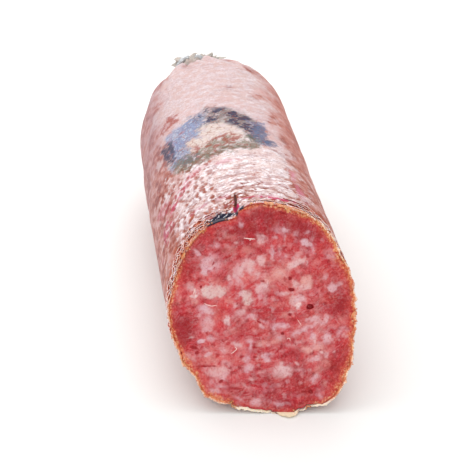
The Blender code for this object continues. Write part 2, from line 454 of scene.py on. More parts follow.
# ---- the cut face ---------------------------------------------------------------------------
# Fat, placed one by one: across, up (mm from the cut's centre), half width, half height,
# tilt in degrees, softness of the edge, strength, and kind:
# 0 pinkish white, 1 lilac white, 2 cream, 3 salmon, 4 near white
FAT_LUMPS = (
    (-6.4, 23.2, 0.76, 0.97, 0, 0.35, 0.75, 1),
    (-4.3, 26.1, 0.83, 0.55, 10, 0.90, 0.35, 3),
    (-9.1, 19.7, 1.52, 0.69, -5, 0.90, 0.50, 3),
    (-7.9, 18.3, 0.42, 0.28, 50, 0.50, 0.70, 4),
    (-13.0, 17.6, 0.97, 0.69, -15, 0.45, 0.75, 1),
    (-14.5, 17.2, 0.83, 0.35, 0, 0.60, 0.55, 1),
    (-18.3, 15.2, 1.18, 0.55, -52, 0.30, 0.85, 1),
    (-15.6, 12.4, 2.35, 1.94, 15, 0.40, 0.85, 1),
    (-14.0, 14.5, 1.52, 1.11, 0, 0.80, 0.55, 1),
    (-13.1, 11.7, 1.11, 1.80, 10, 0.60, 0.60, 1),
    (-16.6, 9.9, 1.11, 0.83, 35, 0.30, 0.90, 1),
    (-20.2, 17.4, 0.69, 0.55, 0, 0.70, 0.45, 1),
    (-3.5, 11.5, 1.25, 1.75, 0, 0.35, 0.85, 0),
    (-7.0, 10.5, 1.52, 2.22, -12, 0.45, 0.80, 0),
    (-5.2, 12.7, 1.39, 0.83, 30, 0.50, 0.70, 0),
    (-6.8, 7.5, 0.97, 0.97, 0, 0.70, 0.55, 1),
    (-2.1, 9.6, 0.97, 1.25, 20, 0.60, 0.60, 0),
    (-0.8, 13.4, 1.45, 1.25, 0, 0.30, 0.90, 0),
    (-0.7, 19.3, 1.25, 1.25, 0, 0.35, 0.85, 0),
    (0.7, 19.1, 0.55, 0.97, 0, 0.40, 0.70, 0),
    (-1.6, 17.9, 1.11, 0.69, 20, 0.90, 0.50, 3),
    (-13.8, 4.7, 3.46, 1.80, 4, 0.35, 0.95, 2),
    (-13.8, 7.3, 2.49, 0.69, 0, 0.90, 0.40, 3),
    (-20.4, 5.9, 1.25, 1.25, -25, 0.60, 0.70, 0),
    (-19.6, 3.3, 0.97, 0.44, 10, 0.25, 1.00, 4),
    (-19.1, 4.7, 0.30, 0.83, 15, 0.40, 0.80, 4),
    (-19.4, 2.2, 1.25, 0.83, -40, 0.70, 0.60, 3),
    (-4.8, 2.7, 1.45, 1.94, -8, 0.40, 0.90, 2),
    (-6.4, 3.8, 0.83, 0.83, 0, 0.40, 0.85, 0),
    (0.4, 6.8, 1.11, 1.25, 10, 0.40, 0.80, 0),
    (-0.5, 5.3, 1.94, 1.25, 0, 0.40, 0.80, 0),
    (-16.9, 0.2, 1.52, 0.83, -15, 0.50, 0.75, 1),
    (-7.9, 1.0, 0.69, 0.83, 0, 0.50, 0.65, 0),
    (-9.5, 8.3, 0.62, 0.55, 0, 0.60, 0.70, 4),
    (-1.6, 28.1, 1.66, 0.62, 4, 0.80, 0.50, 3),
    (3.0, 19.5, 0.86, 0.64, 0, 0.35, 0.80, 1),
    (4.1, 21.8, 1.39, 1.11, -15, 0.80, 0.60, 1),
    (5.8, 21.7, 1.11, 0.62, -25, 0.35, 0.85, 1),
    (5.7, 19.9, 0.30, 1.39, 0, 0.40, 0.70, 1),
    (8.6, 20.7, 0.90, 0.69, -20, 0.50, 0.70, 1),
    (12.2, 21.0, 0.83, 0.36, 0, 0.35, 0.80, 1),
    (11.3, 18.3, 1.25, 0.97, -8, 0.22, 0.95, 1),
    (12.9, 17.7, 0.83, 0.55, -35, 0.35, 0.80, 1),
    (13.7, 16.5, 0.39, 1.11, 14, 0.45, 0.75, 1),
    (2.3, 15.6, 0.55, 1.80, 0, 0.40, 0.75, 1),
    (4.3, 15.0, 0.55, 1.11, 10, 0.80, 0.50, 1),
    (6.3, 14.5, 0.69, 0.55, 20, 0.60, 0.60, 1),
    (9.0, 12.6, 2.77, 0.91, 22, 0.30, 0.95, 0),
    (7.0, 11.2, 1.25, 0.83, 25, 0.50, 0.75, 0),
    (9.7, 15.2, 1.66, 0.42, 30, 0.60, 0.60, 0),
    (11.9, 12.5, 0.28, 0.83, 10, 0.40, 0.75, 4),
    (4.3, 9.9, 3.05, 1.39, 32, 0.90, 0.60, 3),
    (1.4, 8.3, 1.66, 1.11, 30, 0.90, 0.50, 3),
    (12.0, 7.6, 1.66, 1.80, -8, 0.30, 0.85, 3),
    (11.0, 5.8, 1.66, 0.83, 18, 0.35, 0.85, 0),
    (8.5, 7.0, 0.97, 1.39, 35, 0.35, 0.80, 0),
    (5.5, 4.2, 1.39, 0.61, 5, 0.40, 0.70, 0),
    (10.0, 2.8, 1.39, 1.11, -5, 0.30, 0.90, 1),
    (9.5, 0.9, 0.76, 0.83, -20, 0.25, 0.97, 4),
    (8.2, 2.2, 1.11, 1.25, 0, 0.50, 0.70, 0),
    (17.1, 8.6, 0.83, 0.69, 0, 0.50, 0.70, 1),
    (19.0, 5.6, 1.39, 1.32, 15, 0.35, 0.85, 1),
    (21.0, 7.0, 1.04, 0.55, 38, 0.40, 0.75, 1),
    (18.5, 15.1, 1.52, 1.11, -30, 0.70, 0.60, 1),
    (19.4, 14.1, 0.83, 0.83, 0, 0.80, 0.50, 3),
    (-15.9, -0.6, 1.66, 0.97, -10, 0.50, 0.80, 1),
    (-10.1, -3.4, 0.91, 1.39, 0, 0.25, 0.92, 0),
    (-15.8, -4.3, 1.94, 1.94, 20, 0.70, 0.65, 1),
    (-16.0, -5.9, 1.25, 0.69, 10, 0.70, 0.55, 1),
    (-6.3, -1.3, 1.66, 0.97, 20, 0.80, 0.60, 0),
    (-4.0, -2.3, 1.80, 0.64, -3, 0.50, 0.75, 1),
    (-0.7, -5.1, 0.97, 0.47, -28, 0.35, 0.85, 1),
    (-2.6, -2.9, 0.69, 0.28, -50, 0.35, 0.85, 4),
    (-17.2, -9.1, 0.97, 0.69, 15, 0.25, 0.92, 1),
    (-14.8, -8.4, 1.18, 0.97, 10, 0.50, 0.75, 1),
    (-20.5, -8.5, 0.69, 0.28, 15, 0.35, 0.85, 4),
    (-7.3, -10.0, 1.39, 0.64, -6, 0.30, 0.85, 0),
    (-3.9, -9.1, 1.04, 0.69, 10, 0.35, 0.85, 1),
    (-3.8, -10.7, 0.50, 1.11, 0, 0.35, 0.80, 1),
    (-15.6, -12.6, 0.97, 0.55, 10, 0.35, 0.80, 1),
    (-11.3, -12.1, 0.97, 0.62, 10, 0.60, 0.65, 1),
    (-21.5, -13.7, 1.18, 1.25, -20, 0.45, 0.85, 3),
    (-19.5, -13.9, 0.69, 0.83, 0, 0.70, 0.60, 0),
    (-15.0, -14.2, 2.22, 1.11, -5, 0.90, 0.55, 3),
    (-12.8, -17.6, 3.05, 1.52, -14, 0.60, 0.72, 0),
    (-11.1, -19.4, 1.25, 0.69, -25, 0.80, 0.55, 1),
    (-11.9, -21.6, 1.66, 0.55, -8, 0.40, 0.80, 1),
    (-13.6, -22.9, 1.52, 0.69, 0, 0.35, 0.85, 1),
    (-4.0, -16.1, 1.25, 1.25, 15, 0.60, 0.72, 1),
    (-4.6, -14.1, 0.97, 0.69, 30, 0.60, 0.65, 1),
    (-10.5, -15.2, 1.11, 0.69, -20, 0.70, 0.55, 0),
    (-2.1, -26.2, 1.52, 1.11, 4, 0.30, 0.90, 1),
    (-6.9, -24.9, 0.97, 0.42, -22, 0.45, 0.70, 1),
    (-0.4, -17.8, 1.25, 0.33, 4, 0.60, 0.60, 0),
    (-3.6, -19.6, 0.83, 0.50, -35, 0.50, 0.60, 0),
    (-5.0, -21.6, 1.25, 0.42, -42, 0.60, 0.60, 0),
    (13.6, -3.0, 2.01, 0.69, 18, 0.30, 0.85, 1),
    (10.6, -6.0, 2.77, 0.66, 26, 0.40, 0.78, 1),
    (14.8, -4.0, 1.25, 0.55, 30, 0.50, 0.70, 1),
    (17.2, -2.9, 0.69, 1.11, -24, 0.30, 0.87, 1),
    (16.3, -4.2, 0.83, 0.55, 35, 0.50, 0.70, 1),
    (4.2, -5.0, 2.22, 0.83, 8, 0.45, 0.82, 1),
    (0.7, -3.9, 1.66, 0.50, -18, 0.50, 0.70, 1),
    (4.5, -8.3, 0.83, 0.48, 10, 0.60, 0.60, 1),
    (17.4, -8.4, 1.39, 1.33, 0, 0.28, 0.85, 1),
    (20.9, -6.7, 0.58, 1.73, -24, 0.45, 0.75, 1),
    (13.6, -7.8, 0.83, 1.04, -12, 0.35, 0.83, 1),
    (14.1, -9.4, 0.28, 0.76, -8, 0.40, 0.80, 4),
    (12.0, -11.5, 1.80, 0.91, -4, 0.30, 0.85, 3),
    (15.2, -10.9, 1.66, 0.91, 0, 0.80, 0.60, 3),
    (14.1, -14.0, 1.94, 0.69, 20, 0.35, 0.82, 1),
    (17.1, -12.8, 0.90, 1.04, -30, 0.35, 0.85, 1),
    (15.9, -12.4, 0.40, 0.40, 0, 0.35, 0.75, 4),
    (0.6, -12.9, 1.39, 0.61, 12, 0.35, 0.85, 1),
    (1.0, -14.3, 0.83, 0.78, 0, 0.30, 0.87, 1),
    (19.5, -11.8, 0.50, 0.42, 0, 0.40, 0.60, 4),
    (5.0, -17.4, 2.49, 1.66, -4, 0.50, 0.92, 0),
    (4.9, -17.1, 1.39, 0.97, -4, 0.40, 1.00, 0),
    (5.0, -15.0, 0.55, 0.33, 0, 0.35, 0.90, 4),
    (9.2, -15.3, 0.33, 0.47, 0, 0.30, 0.75, 4),
    (13.8, -19.2, 1.04, 0.61, 32, 0.40, 0.80, 1),
    (9.7, -16.9, 1.80, 0.61, 4, 0.80, 0.55, 1),
    (4.8, -26.4, 2.08, 0.50, 0, 0.35, 0.82, 1),
    (15.6, -24.1, 0.64, 1.11, 0, 0.50, 0.65, 1),
    (17.4, -15.3, 1.25, 1.11, 0, 0.90, 0.50, 3),
    (15.0, -17.0, 1.39, 0.83, 20, 0.90, 0.50, 3),
    (-0.6, -9.9, 1.39, 0.83, 0, 1.00, 0.50, 3),
    (2.7, -9.3, 2.49, 0.69, 10, 1.00, 0.55, 3),
    (7.2, -10.2, 1.66, 0.69, -10, 0.90, 0.50, 0),
    (10.1, -9.2, 1.66, 0.50, 20, 0.60, 0.60, 0),
    (-9.9, 2.3, 1.25, 0.69, -20, 0.90, 0.40, 3),
    (-8.6, -6.3, 1.94, 0.97, 10, 1.00, 0.30, 3),
    (3.1, -21.1, 1.66, 0.42, 10, 0.90, 0.45, 1),
    (0.3, -22.9, 1.66, 0.55, 8, 0.90, 0.40, 1),
    (10.0, -24.2, 1.94, 0.42, 4, 0.80, 0.45, 1),
    (16.9, -20.7, 0.83, 0.69, 30, 0.80, 0.45, 3),
    (21.1, -3.2, 0.69, 1.25, -15, 0.90, 0.40, 3),
    (-23.2, 2.3, 0.83, 1.11, -20, 0.90, 0.40, 3),
    (-4.7, 16.1, 1.66, 1.11, 20, 1.00, 0.45, 3),
    (-9.9, 16.4, 1.39, 0.97, 0, 1.00, 0.35, 3),
    (-11.5, 21.0, 0.83, 0.42, 0, 0.90, 0.30, 3),
    (14.4, 12.5, 0.97, 0.83, 20, 1.00, 0.35, 3),
    (15.5, 2.3, 1.11, 0.83, 0, 1.00, 0.35, 3),
    (15.0, -0.5, 1.39, 0.55, 10, 0.90, 0.35, 1),
    (3.1, 0.9, 1.66, 0.83, 0, 1.00, 0.35, 3),
    (6.1, -2.1, 1.11, 0.69, -30, 0.90, 0.45, 3),
    (-8.8, -23.2, 1.25, 0.55, -30, 0.90, 0.35, 3),
)

# Pits, slits and dark spots: across, up, half width, half height, tilt, depth in mm, darkness
PITS = (
    (12.8, 0.5, 0.90, 0.72, 20, 1.90, 1.00),
    (-17.4, 6.0, 0.30, 0.47, -15, 0.80, 1.00),
    (7.6, 5.2, 0.72, 0.55, 10, 0.90, 0.90),
    (7.2, 8.4, 0.47, 0.44, 30, 0.60, 0.85),
    (5.2, -7.0, 0.42, 0.42, 0, 0.70, 0.95),
    (7.3, -1.7, 0.47, 0.36, 0, 0.50, 0.75),
    (-1.6, -3.6, 0.69, 0.24, -40, 0.45, 0.90),
    (12.8, -23.0, 0.61, 0.55, 20, 0.80, 0.95),
    (11.2, -23.1, 0.90, 0.42, 0, 0.40, 0.70),
    (-2.4, -13.5, 0.64, 0.44, 0, 0.40, 0.70),
    (-11.7, -20.2, 0.76, 0.50, 10, 0.40, 0.70),
    (-7.3, -22.2, 1.94, 0.33, -6, 0.25, 0.60),
    (-6.9, -16.4, 0.55, 0.42, 0, 0.35, 0.60),
    (-8.5, -17.8, 0.83, 0.55, 10, 0.30, 0.50),
    (-15.2, -16.0, 2.49, 0.21, -1, 0.50, 0.70),
    (-19.5, -10.9, 1.11, 0.36, -12, 0.40, 0.75),
    (-18.6, -12.3, 0.55, 0.47, 20, 0.40, 0.70),
    (-23.0, -12.7, 0.30, 0.50, 0, 0.60, 1.00),
    (-20.5, -6.4, 0.55, 0.42, 30, 0.30, 0.65),
    (-23.8, -4.9, 0.83, 1.11, -20, 0.20, 0.55),
    (-21.4, -3.8, 0.69, 1.25, -30, 0.20, 0.50),
    (-14.0, 12.5, 0.21, 0.55, -10, 0.30, 0.70),
    (-13.7, 11.1, 0.19, 0.42, 20, 0.25, 0.60),
    (5.9, 16.8, 0.83, 0.36, 25, 0.30, 0.60),
    (12.1, 14.5, 0.55, 0.61, 0, 0.30, 0.50),
    (-0.3, 7.6, 0.55, 0.33, 20, 0.35, 0.65),
    (19.1, -16.2, 1.11, 0.55, 35, 0.30, 0.55),
    (20.9, -17.6, 0.69, 0.83, 30, 0.20, 0.50),
    (5.3, 26.5, 1.25, 0.36, -18, 0.35, 0.75),
    (-17.8, 15.8, 1.18, 0.19, -50, 0.30, 0.60),
    (-0.5, 21.8, 0.55, 0.42, 0, 0.20, 0.40),
    (20.2, -10.2, 0.55, 0.42, 0, 0.20, 0.50),
    (-5.8, 0.9, 0.55, 0.35, 0, 0.30, 0.50),
    (3.2, 25.3, 1.94, 0.69, -8, 0.10, 0.35),
    (15.0, 15.3, 0.69, 1.39, 0, 0.10, 0.35),
    (16.6, 12.8, 0.83, 1.11, 0, 0.10, 0.30),
    (21.4, -0.2, 0.97, 1.66, -10, 0.12, 0.40),
    (-22.4, 11.2, 1.39, 1.25, 0, 0.12, 0.35),
    (-23.5, -7.4, 0.83, 1.39, 20, 0.12, 0.50),
    (8.6, -12.1, 1.94, 1.11, -10, 0.10, 0.35),
    (9.7, -22.4, 1.94, 0.69, 5, 0.10, 0.30),
    (-5.0, -6.8, 2.49, 1.11, 8, 0.10, 0.25),
    (-2.5, 22.2, 1.94, 0.97, -10, 0.10, 0.30),
)

# White fibres: points across the face in mm, and half thickness in mm
THREADS = (
    (((-5.6, 19.5), (-4.1, 19.3), (-2.5, 19.2)), 0.17),
    (((-3.8, 18.7), (-3.8, 19.1), (-3.4, 19.4)), 0.14),
    (((-16.5, 1.4), (-15.6, 0.9), (-14.5, 0.6), (-13.0, 0.9)), 0.18),
    (((9.3, -3.1), (9.8, -3.8), (10.4, -4.8)), 0.12),
    (((-9.0, -12.5), (-8.1, -11.9), (-7.5, -11.2), (-8.0, -10.7)), 0.14),
    (((6.4, -8.5), (6.8, -8.2), (7.2, -8.3), (7.3, -8.9)), 0.14),
    (((-19.5, 3.9), (-19.3, 4.6), (-19.1, 5.5)), 0.15),
)

# How far the dried orange band reaches in from the edge, in mm, by angle in degrees
BAND = (
    (0, 1.3), (12, 1.1), (22, 1.9), (40, 1.3), (55, 0.8), (68, 1.0), (76, 1.1), (84, 0.8), (92, 0.9), (99, 0.8), (103, 0.15), (124, 0.15), (128, 0.4),
    (146, 0.4), (152, 1.2), (166, 1.2), (180, 0.8), (198, 0.8), (209, 1.9), (218, 1.2), (230, 1.6), (243, 1.0), (249, 0.12), (290, 0.10),
    (297, 0.9), (313, 1.9), (335, 1.4), (360, 1.3),
)


def in_ellipse(p, row, power):
    """Depth in mm inside a blocky ellipse, negative outside, and the points near enough to matter."""
    cx, cy, a, b, tilt = row[:5]
    reach = max(a, b) + 1.6
    near = np.flatnonzero((np.abs(p[:, 0] - cx) < reach) & (np.abs(p[:, 1] - cy) < reach))
    c, s = math.cos(math.radians(tilt)), math.sin(math.radians(tilt))
    dx, dy = p[near, 0] - cx, p[near, 1] - cy
    x, y = np.abs(dx * c + dy * s) / a, np.abs(dy * c - dx * s) / b
    r = (x**power + y**power) ** (1.0 / power)
    return near, (1.0 - r) * min(a, b)


def face_fields(p, angle, edge):
    """Looks and relief of the cut at points p (mm); edge is the distance in mm to its outline."""
    n = len(p)
    warp = np.column_stack([fbm(p / 2.6, 2, 11), fbm(p / 2.6, 2, 12)])
    close = np.column_stack([fbm(p / 0.85, 2, 13), fbm(p / 0.85, 2, 14)])
    q = p + 0.50 * warp + 0.30 * close
    rough_edge = 0.50 * fbm(p / 1.5, 2, 21) + 0.26 * perlin(p / 0.62, 22) + 0.14 * perlin(p / 0.33, 23)

    # fibres and streaks run mostly up to the right, and turn slowly over the face
    lean = math.radians(24.0) + 0.75 * fbm(p / 13.0, 2, 15) + 0.5 * smoothstep(-4, -20, p[:, 1]) * smoothstep(16, -8, p[:, 0]) * -1.0
    u = p[:, 0] * np.cos(lean) + p[:, 1] * np.sin(lean)
    v = p[:, 1] * np.cos(lean) - p[:, 0] * np.sin(lean)
    u, v = u + 0.5 * warp[:, 0], v + 0.4 * warp[:, 1]
    strand = fbm(np.column_stack([u / 3.4, v / 0.95]), 3, 16)
    fibre = fbm(np.column_stack([u / 1.5, v / 0.36]), 2, 17)
    mottle = fbm(p / 1.15 + 0.3 * close, 3, 18)

    fat = np.zeros(n)
    share = np.zeros((n, 5))
    solid = np.zeros(n)
    veil = np.zeros(n)
    for row in FAT_LUMPS:
        near, depth = in_ellipse(q, row, 2.3)
        small = min(row[2], row[3])
        soft = (0.20 + 0.66 * row[5]) * min(1.0, 0.45 + 0.4 * small)
        d = depth + rough_edge[near] * (0.75 + 0.6 * row[5]) * min(1.0, 0.35 + 0.45 * small)
        f = smoothstep(-soft, soft * 1.2, d)
        f = f * row[6] * np.clip(1.0 + 0.62 * mottle[near] + 0.28 * fibre[near], 0.30, 1.12)
        halo = smoothstep(-1.35 - 0.4 * row[5], 0.5, depth + 0.8 * rough_edge[near]) * 0.20 * row[6]
        veil[near] = np.maximum(veil[near], halo)
        share[near, row[7]] += f + 0.5 * halo
        solid[near] = np.maximum(solid[near], f * (1.0 - 0.8 * row[5]))
        fat[near] = 1.0 - (1.0 - fat[near]) * (1.0 - np.minimum(f, 1.0))

    # ground meat: pieces of unlike tone with their own grain
    wide = p + 1.3 * np.column_stack([fbm(p / 3.4, 2, 31), fbm(p / 3.4, 2, 32)]) + 0.35 * close
    f1, f2, r1, r2, r3 = cells(wide / 4.3, 41, flat=True)
    seam = np.exp(-(((f2 - f1) / 0.06) ** 2))
    tilt = r2 * math.pi
    along = p[:, 0] * np.cos(tilt) + p[:, 1] * np.sin(tilt)
    aside = p[:, 1] * np.cos(tilt) - p[:, 0] * np.sin(tilt)
    grain = perlin(np.column_stack([along / 2.6, aside / 0.42]) + 40 * r1[:, None], 42)
    fine_grain = perlin(np.column_stack([along / 1.3, aside / 0.26]) + 40 * r1[:, None], 43)

    # fat ground fine: a haze, specks and thin veins between the lumps
    crowd = smoothstep(-0.25, 0.55, fbm(p / 5.5, 2, 54) + 0.25 * smoothstep(4, -14, p[:, 1]))
    small = p + 0.55 * np.column_stack([fbm(p / 0.9, 2, 51), fbm(p / 0.9, 2, 52)])
    g1, _, s1, s2, s3 = cells(small / 1.7, 53, flat=True)
    speck = (s1 < 0.16 + 0.30 * crowd) * smoothstep(0.62 + 0.10 * s2, 0.06, g1 + 0.16 * fibre) * (0.24 + 0.44 * s3)
    tiny = p + 0.25 * np.column_stack([perlin(p / 0.5, 55), perlin(p / 0.5, 56)])
    h1, _, t1, t2, _ = cells(tiny / 0.85, 57, flat=True)
    speck = np.maximum(speck, (t1 < 0.26) * smoothstep(0.52, 0.06, h1) * (0.14 + 0.34 * t2))
    haze = smoothstep(-0.15, 0.75, fbm(p / 2.1, 3, 58) + 0.35 * strand + 0.18 * crowd - 0.12) * 0.34
    veins = smoothstep(0.50, 0.95, 1.0 - 2.4 * np.abs(strand + 0.10 * mottle)) * smoothstep(-0.3, 0.4, fbm(p / 4.0, 2, 59) + 0.2 * crowd) * 0.30
    thin = smoothstep(0.22, 0.75, fibre) * (0.05 + 0.10 * crowd)
    # wide, soft places where more fat is worked into the meat
    bend = p + 1.6 * np.column_stack([fbm(p / 5.0, 2, 36), fbm(p / 5.0, 2, 37)])
    pale = np.zeros(n)
    for cx, cy, long, wide_, tilt_, strength in (
        (5.2, 9.4, 6.6, 3.6, 32, 0.58), (-4.1, 10.3, 5.0, 4.0, 20, 0.40), (-14.1, 4.9, 4.4, 2.4, 5, 0.34), (-16.3, 11.4, 4.2, 4.0, 60, 0.30),
        (-15.8, -3.5, 3.4, 5.0, 0, 0.40), (-13.5, -17.2, 5.6, 3.2, -15, 0.36), (5.3, -16.8, 4.2, 2.8, 5, 0.34),
        (13.6, -4.6, 6.4, 2.8, 30, 0.42), (14.2, -12.9, 4.6, 3.6, 25, 0.36), (-4.5, -4.4, 6.4, 2.2, -8, 0.30), (9.0, 3.0, 4.0, 3.4, 45, 0.30),
        (-9.0, -11.5, 6.0, 2.6, -12, 0.26), (17.5, 8.0, 3.0, 3.4, 60, 0.28), (5.0, 19.0, 6.0, 2.2, 0, 0.14),
    ):
        c, t = math.cos(math.radians(tilt_)), math.sin(math.radians(tilt_))
        dx, dy = bend[:, 0] - cx, bend[:, 1] - cy
        pale = np.maximum(pale, strength * np.exp(-(((dx * c + dy * t) / long) ** 2) - ((dy * c - dx * t) / wide_) ** 2))
    cloud = 0.5 + 0.5 * fbm(np.column_stack([u / 3.0, v / 1.2]), 3, 38)
    fat_before = fat.copy()
    fat = 1.0 - (1.0 - fat) * (1.0 - 1.10 * pale * (0.15 + 0.85 * smoothstep(0.28, 0.72, cloud)))
    share[:, 3] += 1.2 * pale * smoothstep(-0.2, 0.4, fbm(p / 4.0, 2, 39) + 0.3 * (p[:, 0] > 0))
    for part in (veil, 0.85 * speck, 0.62 * haze, veins, thin):
        fat = 1.0 - (1.0 - fat) * (1.0 - part * (1 - 0.45 * fat_before))
    share[:, 1] += 0.8 * speck * (s2 > 0.55)
    share[:, 0] += speck * (s2 <= 0.55) + 0.6 * haze + veins
    share[:, 3] += 0.55 * haze
    kinds = share / np.maximum(share.sum(1), 1e-6)[:, None]

    tone = (
        0.40 * fbm(p / 6.5, 2, 61)
        + 0.62 * pale
        + 0.52 * fbm(p / 2.3, 3, 62)
        + 0.26 * (r3 - 0.5)
        + 0.20 * grain
        + 0.12 * fine_grain
        + 0.22 * strand
        + 0.14 * fibre
        + 0.16 * perlin(p / 0.6, 63)
        - 0.08 * seam
    )
    tone += 0.25 * smoothstep(1.6, 0.0, np.abs(np.hypot(p[:, 0] + 8, p[:, 1] - 9) / 9.0))
    # redder, darker places seen near the top, at the left and at the lower right
    dark = np.zeros(n)
    for cx, cy, reach, strength in (
        (-1, 22.5, 7.5, 0.42), (9, 23, 6.0, 0.36), (-23, -7, 4.6, 0.55), (20.5, -16, 5.0, 0.34),
        (20, 8, 6.0, 0.22), (1.0, -1.3, 3.8, 0.22), (17.8, 0.6, 4.4, 0.30), (2.5, -22.0, 6.0, 0.26), (8.5, -12, 5.0, 0.26), (-5, -6.5, 5.5, 0.22), (9, -22.5, 6.0, 0.30),
        (-21.5, 11.5, 3.4, 0.34), (21.5, 1.0, 4.0, 0.24), (-4, 3.0, 3.5, 0.10), (-9, -23, 4.0, 0.24),
        (-8.5, 18.5, 5.0, 0.22), (-9.5, 13.5, 3.0, 0.24), (12.2, 10.9, 2.2, 0.34), (7.2, 9.3, 2.0, 0.26), (-12.6, 8.8, 2.6, 0.26), (-20.8, -3.0, 3.4, 0.20),
    ):
        there = np.exp(-(((p[:, 0] - cx) ** 2 + (p[:, 1] - cy) ** 2) / reach**2))
        tone -= 1.25 * strength * there
        dark = np.maximum(dark, 1.35 * strength * there)
    outer = smoothstep(7.5, 2.0, edge + 3.0 * fbm(p / 6.0, 2, 67))
    tone -= 0.10 * outer
    wane = np.clip(1.15 * dark + 0.20 * outer + 0.34 * smoothstep(0.02, -0.40, fbm(p / 3.2, 2, 60)), 0, 0.88)
    fat = fat * (1.0 - wane * (1.0 - 0.9 * solid))
    # small blood-red flecks
    b1, _, b2, b3, _ = cells((p + 0.5 * close) / 2.3, 66, flat=True)
    fleck = (b2 < 0.34) * smoothstep(0.40, 0.10, b1 + 0.10 * fibre) * (0.35 + 0.65 * b3)
    tone -= 0.55 * fleck
    fat = fat * (1.0 - 0.6 * fleck * (1 - 0.6 * solid))
    vein = np.abs(fbm(q / 2.1, 3, 68))
    vein = smoothstep(0.085, 0.015, vein) * smoothstep(-0.1, 0.35, fbm(p / 3.0, 2, 69))
    fat = fat * (1.0 - 0.50 * vein * (1 - 0.5 * solid))
    tone -= 0.16 * vein
    warm = 0.34 * smoothstep(-0.1, 0.6, fbm(p / 4.6, 2, 64)) + 0.28 * smoothstep(0.1, 0.7, fbm(p / 1.5, 2, 65))

    # the dried band round the edge
    reach = np.interp(np.degrees(angle) % 360.0, [a for a, _ in BAND], [w for _, w in BAND])
    jag = 0.75 * fbm(p / 1.9, 3, 71) + 0.28 * perlin(p / 0.5, 72)
    band = smoothstep(1.00, 0.15, edge / reach + 0.95 * jag)
    band = np.maximum(band * (0.55 + 0.65 * smoothstep(-0.25, 0.30, fbm(p / 1.4, 2, 74))), 0.85 * smoothstep(0.55, 0.20, edge + 0.25 * jag) * smoothstep(0.2, 0.6, reach))
    band = np.clip(band, 0, 1) * smoothstep(0.12, 0.50, reach)
    warm = np.maximum(warm, 0.70 * smoothstep(2.9, 0.5, edge / np.maximum(reach, 0.6) + 0.8 * jag))
    fat = fat * (1.0 - 0.65 * band)

    deep = np.zeros(n)
    sink = np.zeros(n)
    for row in PITS:
        near, depth = in_ellipse(p + 0.25 * warp + 0.12 * close, row, 2.2)
        d = depth + 0.45 * rough_edge[near]
        soft = 0.20 if row[5] > 0.22 else 0.9
        f = smoothstep(-soft, soft, d)
        deep[near] = np.maximum(deep[near], f * row[6])
        sink[near] = np.maximum(sink[near], smoothstep(-0.12, 0.30, d) * row[5] * 0.55)
    pin, _, k1, k2, _ = cells(p / 2.6, 73, flat=True)
    pinhole = (k1 < 0.10) * smoothstep(0.11, 0.05, pin) * (edge > 1.0)
    deep = np.maximum(deep, 0.55 * pinhole)
    sink = np.maximum(sink, 0.16 * pinhole)
    fat = fat * (1.0 - 0.9 * deep)

    calm = smoothstep(0.0, 1.2, edge)
    relief = (
        0.26 * fbm(p / 7.5, 2, 81)
        + 0.10 * fbm(p / 2.4, 2, 82) * calm
        + 0.055 * perlin(p / 0.85, 83)
        + 0.035 * perlin(p / 0.42, 84)
        + 0.035 * fibre
        + 0.030 * grain * (1 - fat)
        + 0.020 * fine_grain * (1 - fat)
        + 0.07 * smoothstep(0.2, 0.9, solid) * calm
        - 0.05 * seam * (1 - fat_before)
        - sink
    )
    crinkle = 1.0 - np.abs(fbm(p / 0.95, 2, 85)) * 2.2
    relief += band * (0.14 * crinkle + 0.10 * perlin(p / 0.38, 86) + 0.06)
    relief = blend(0.35 * relief, relief, smoothstep(0.0, 0.8, edge))
    return {
        "Marble": np.column_stack([fat, tone, warm]),
        "Kinds": np.column_stack([kinds[:, 1], kinds[:, 2], kinds[:, 3]]),
        "White": kinds[:, 4],
        "Edge": np.column_stack([band, deep, np.ones(n)]),
        "CrinkleHighlight": crinkle,
    }, relief


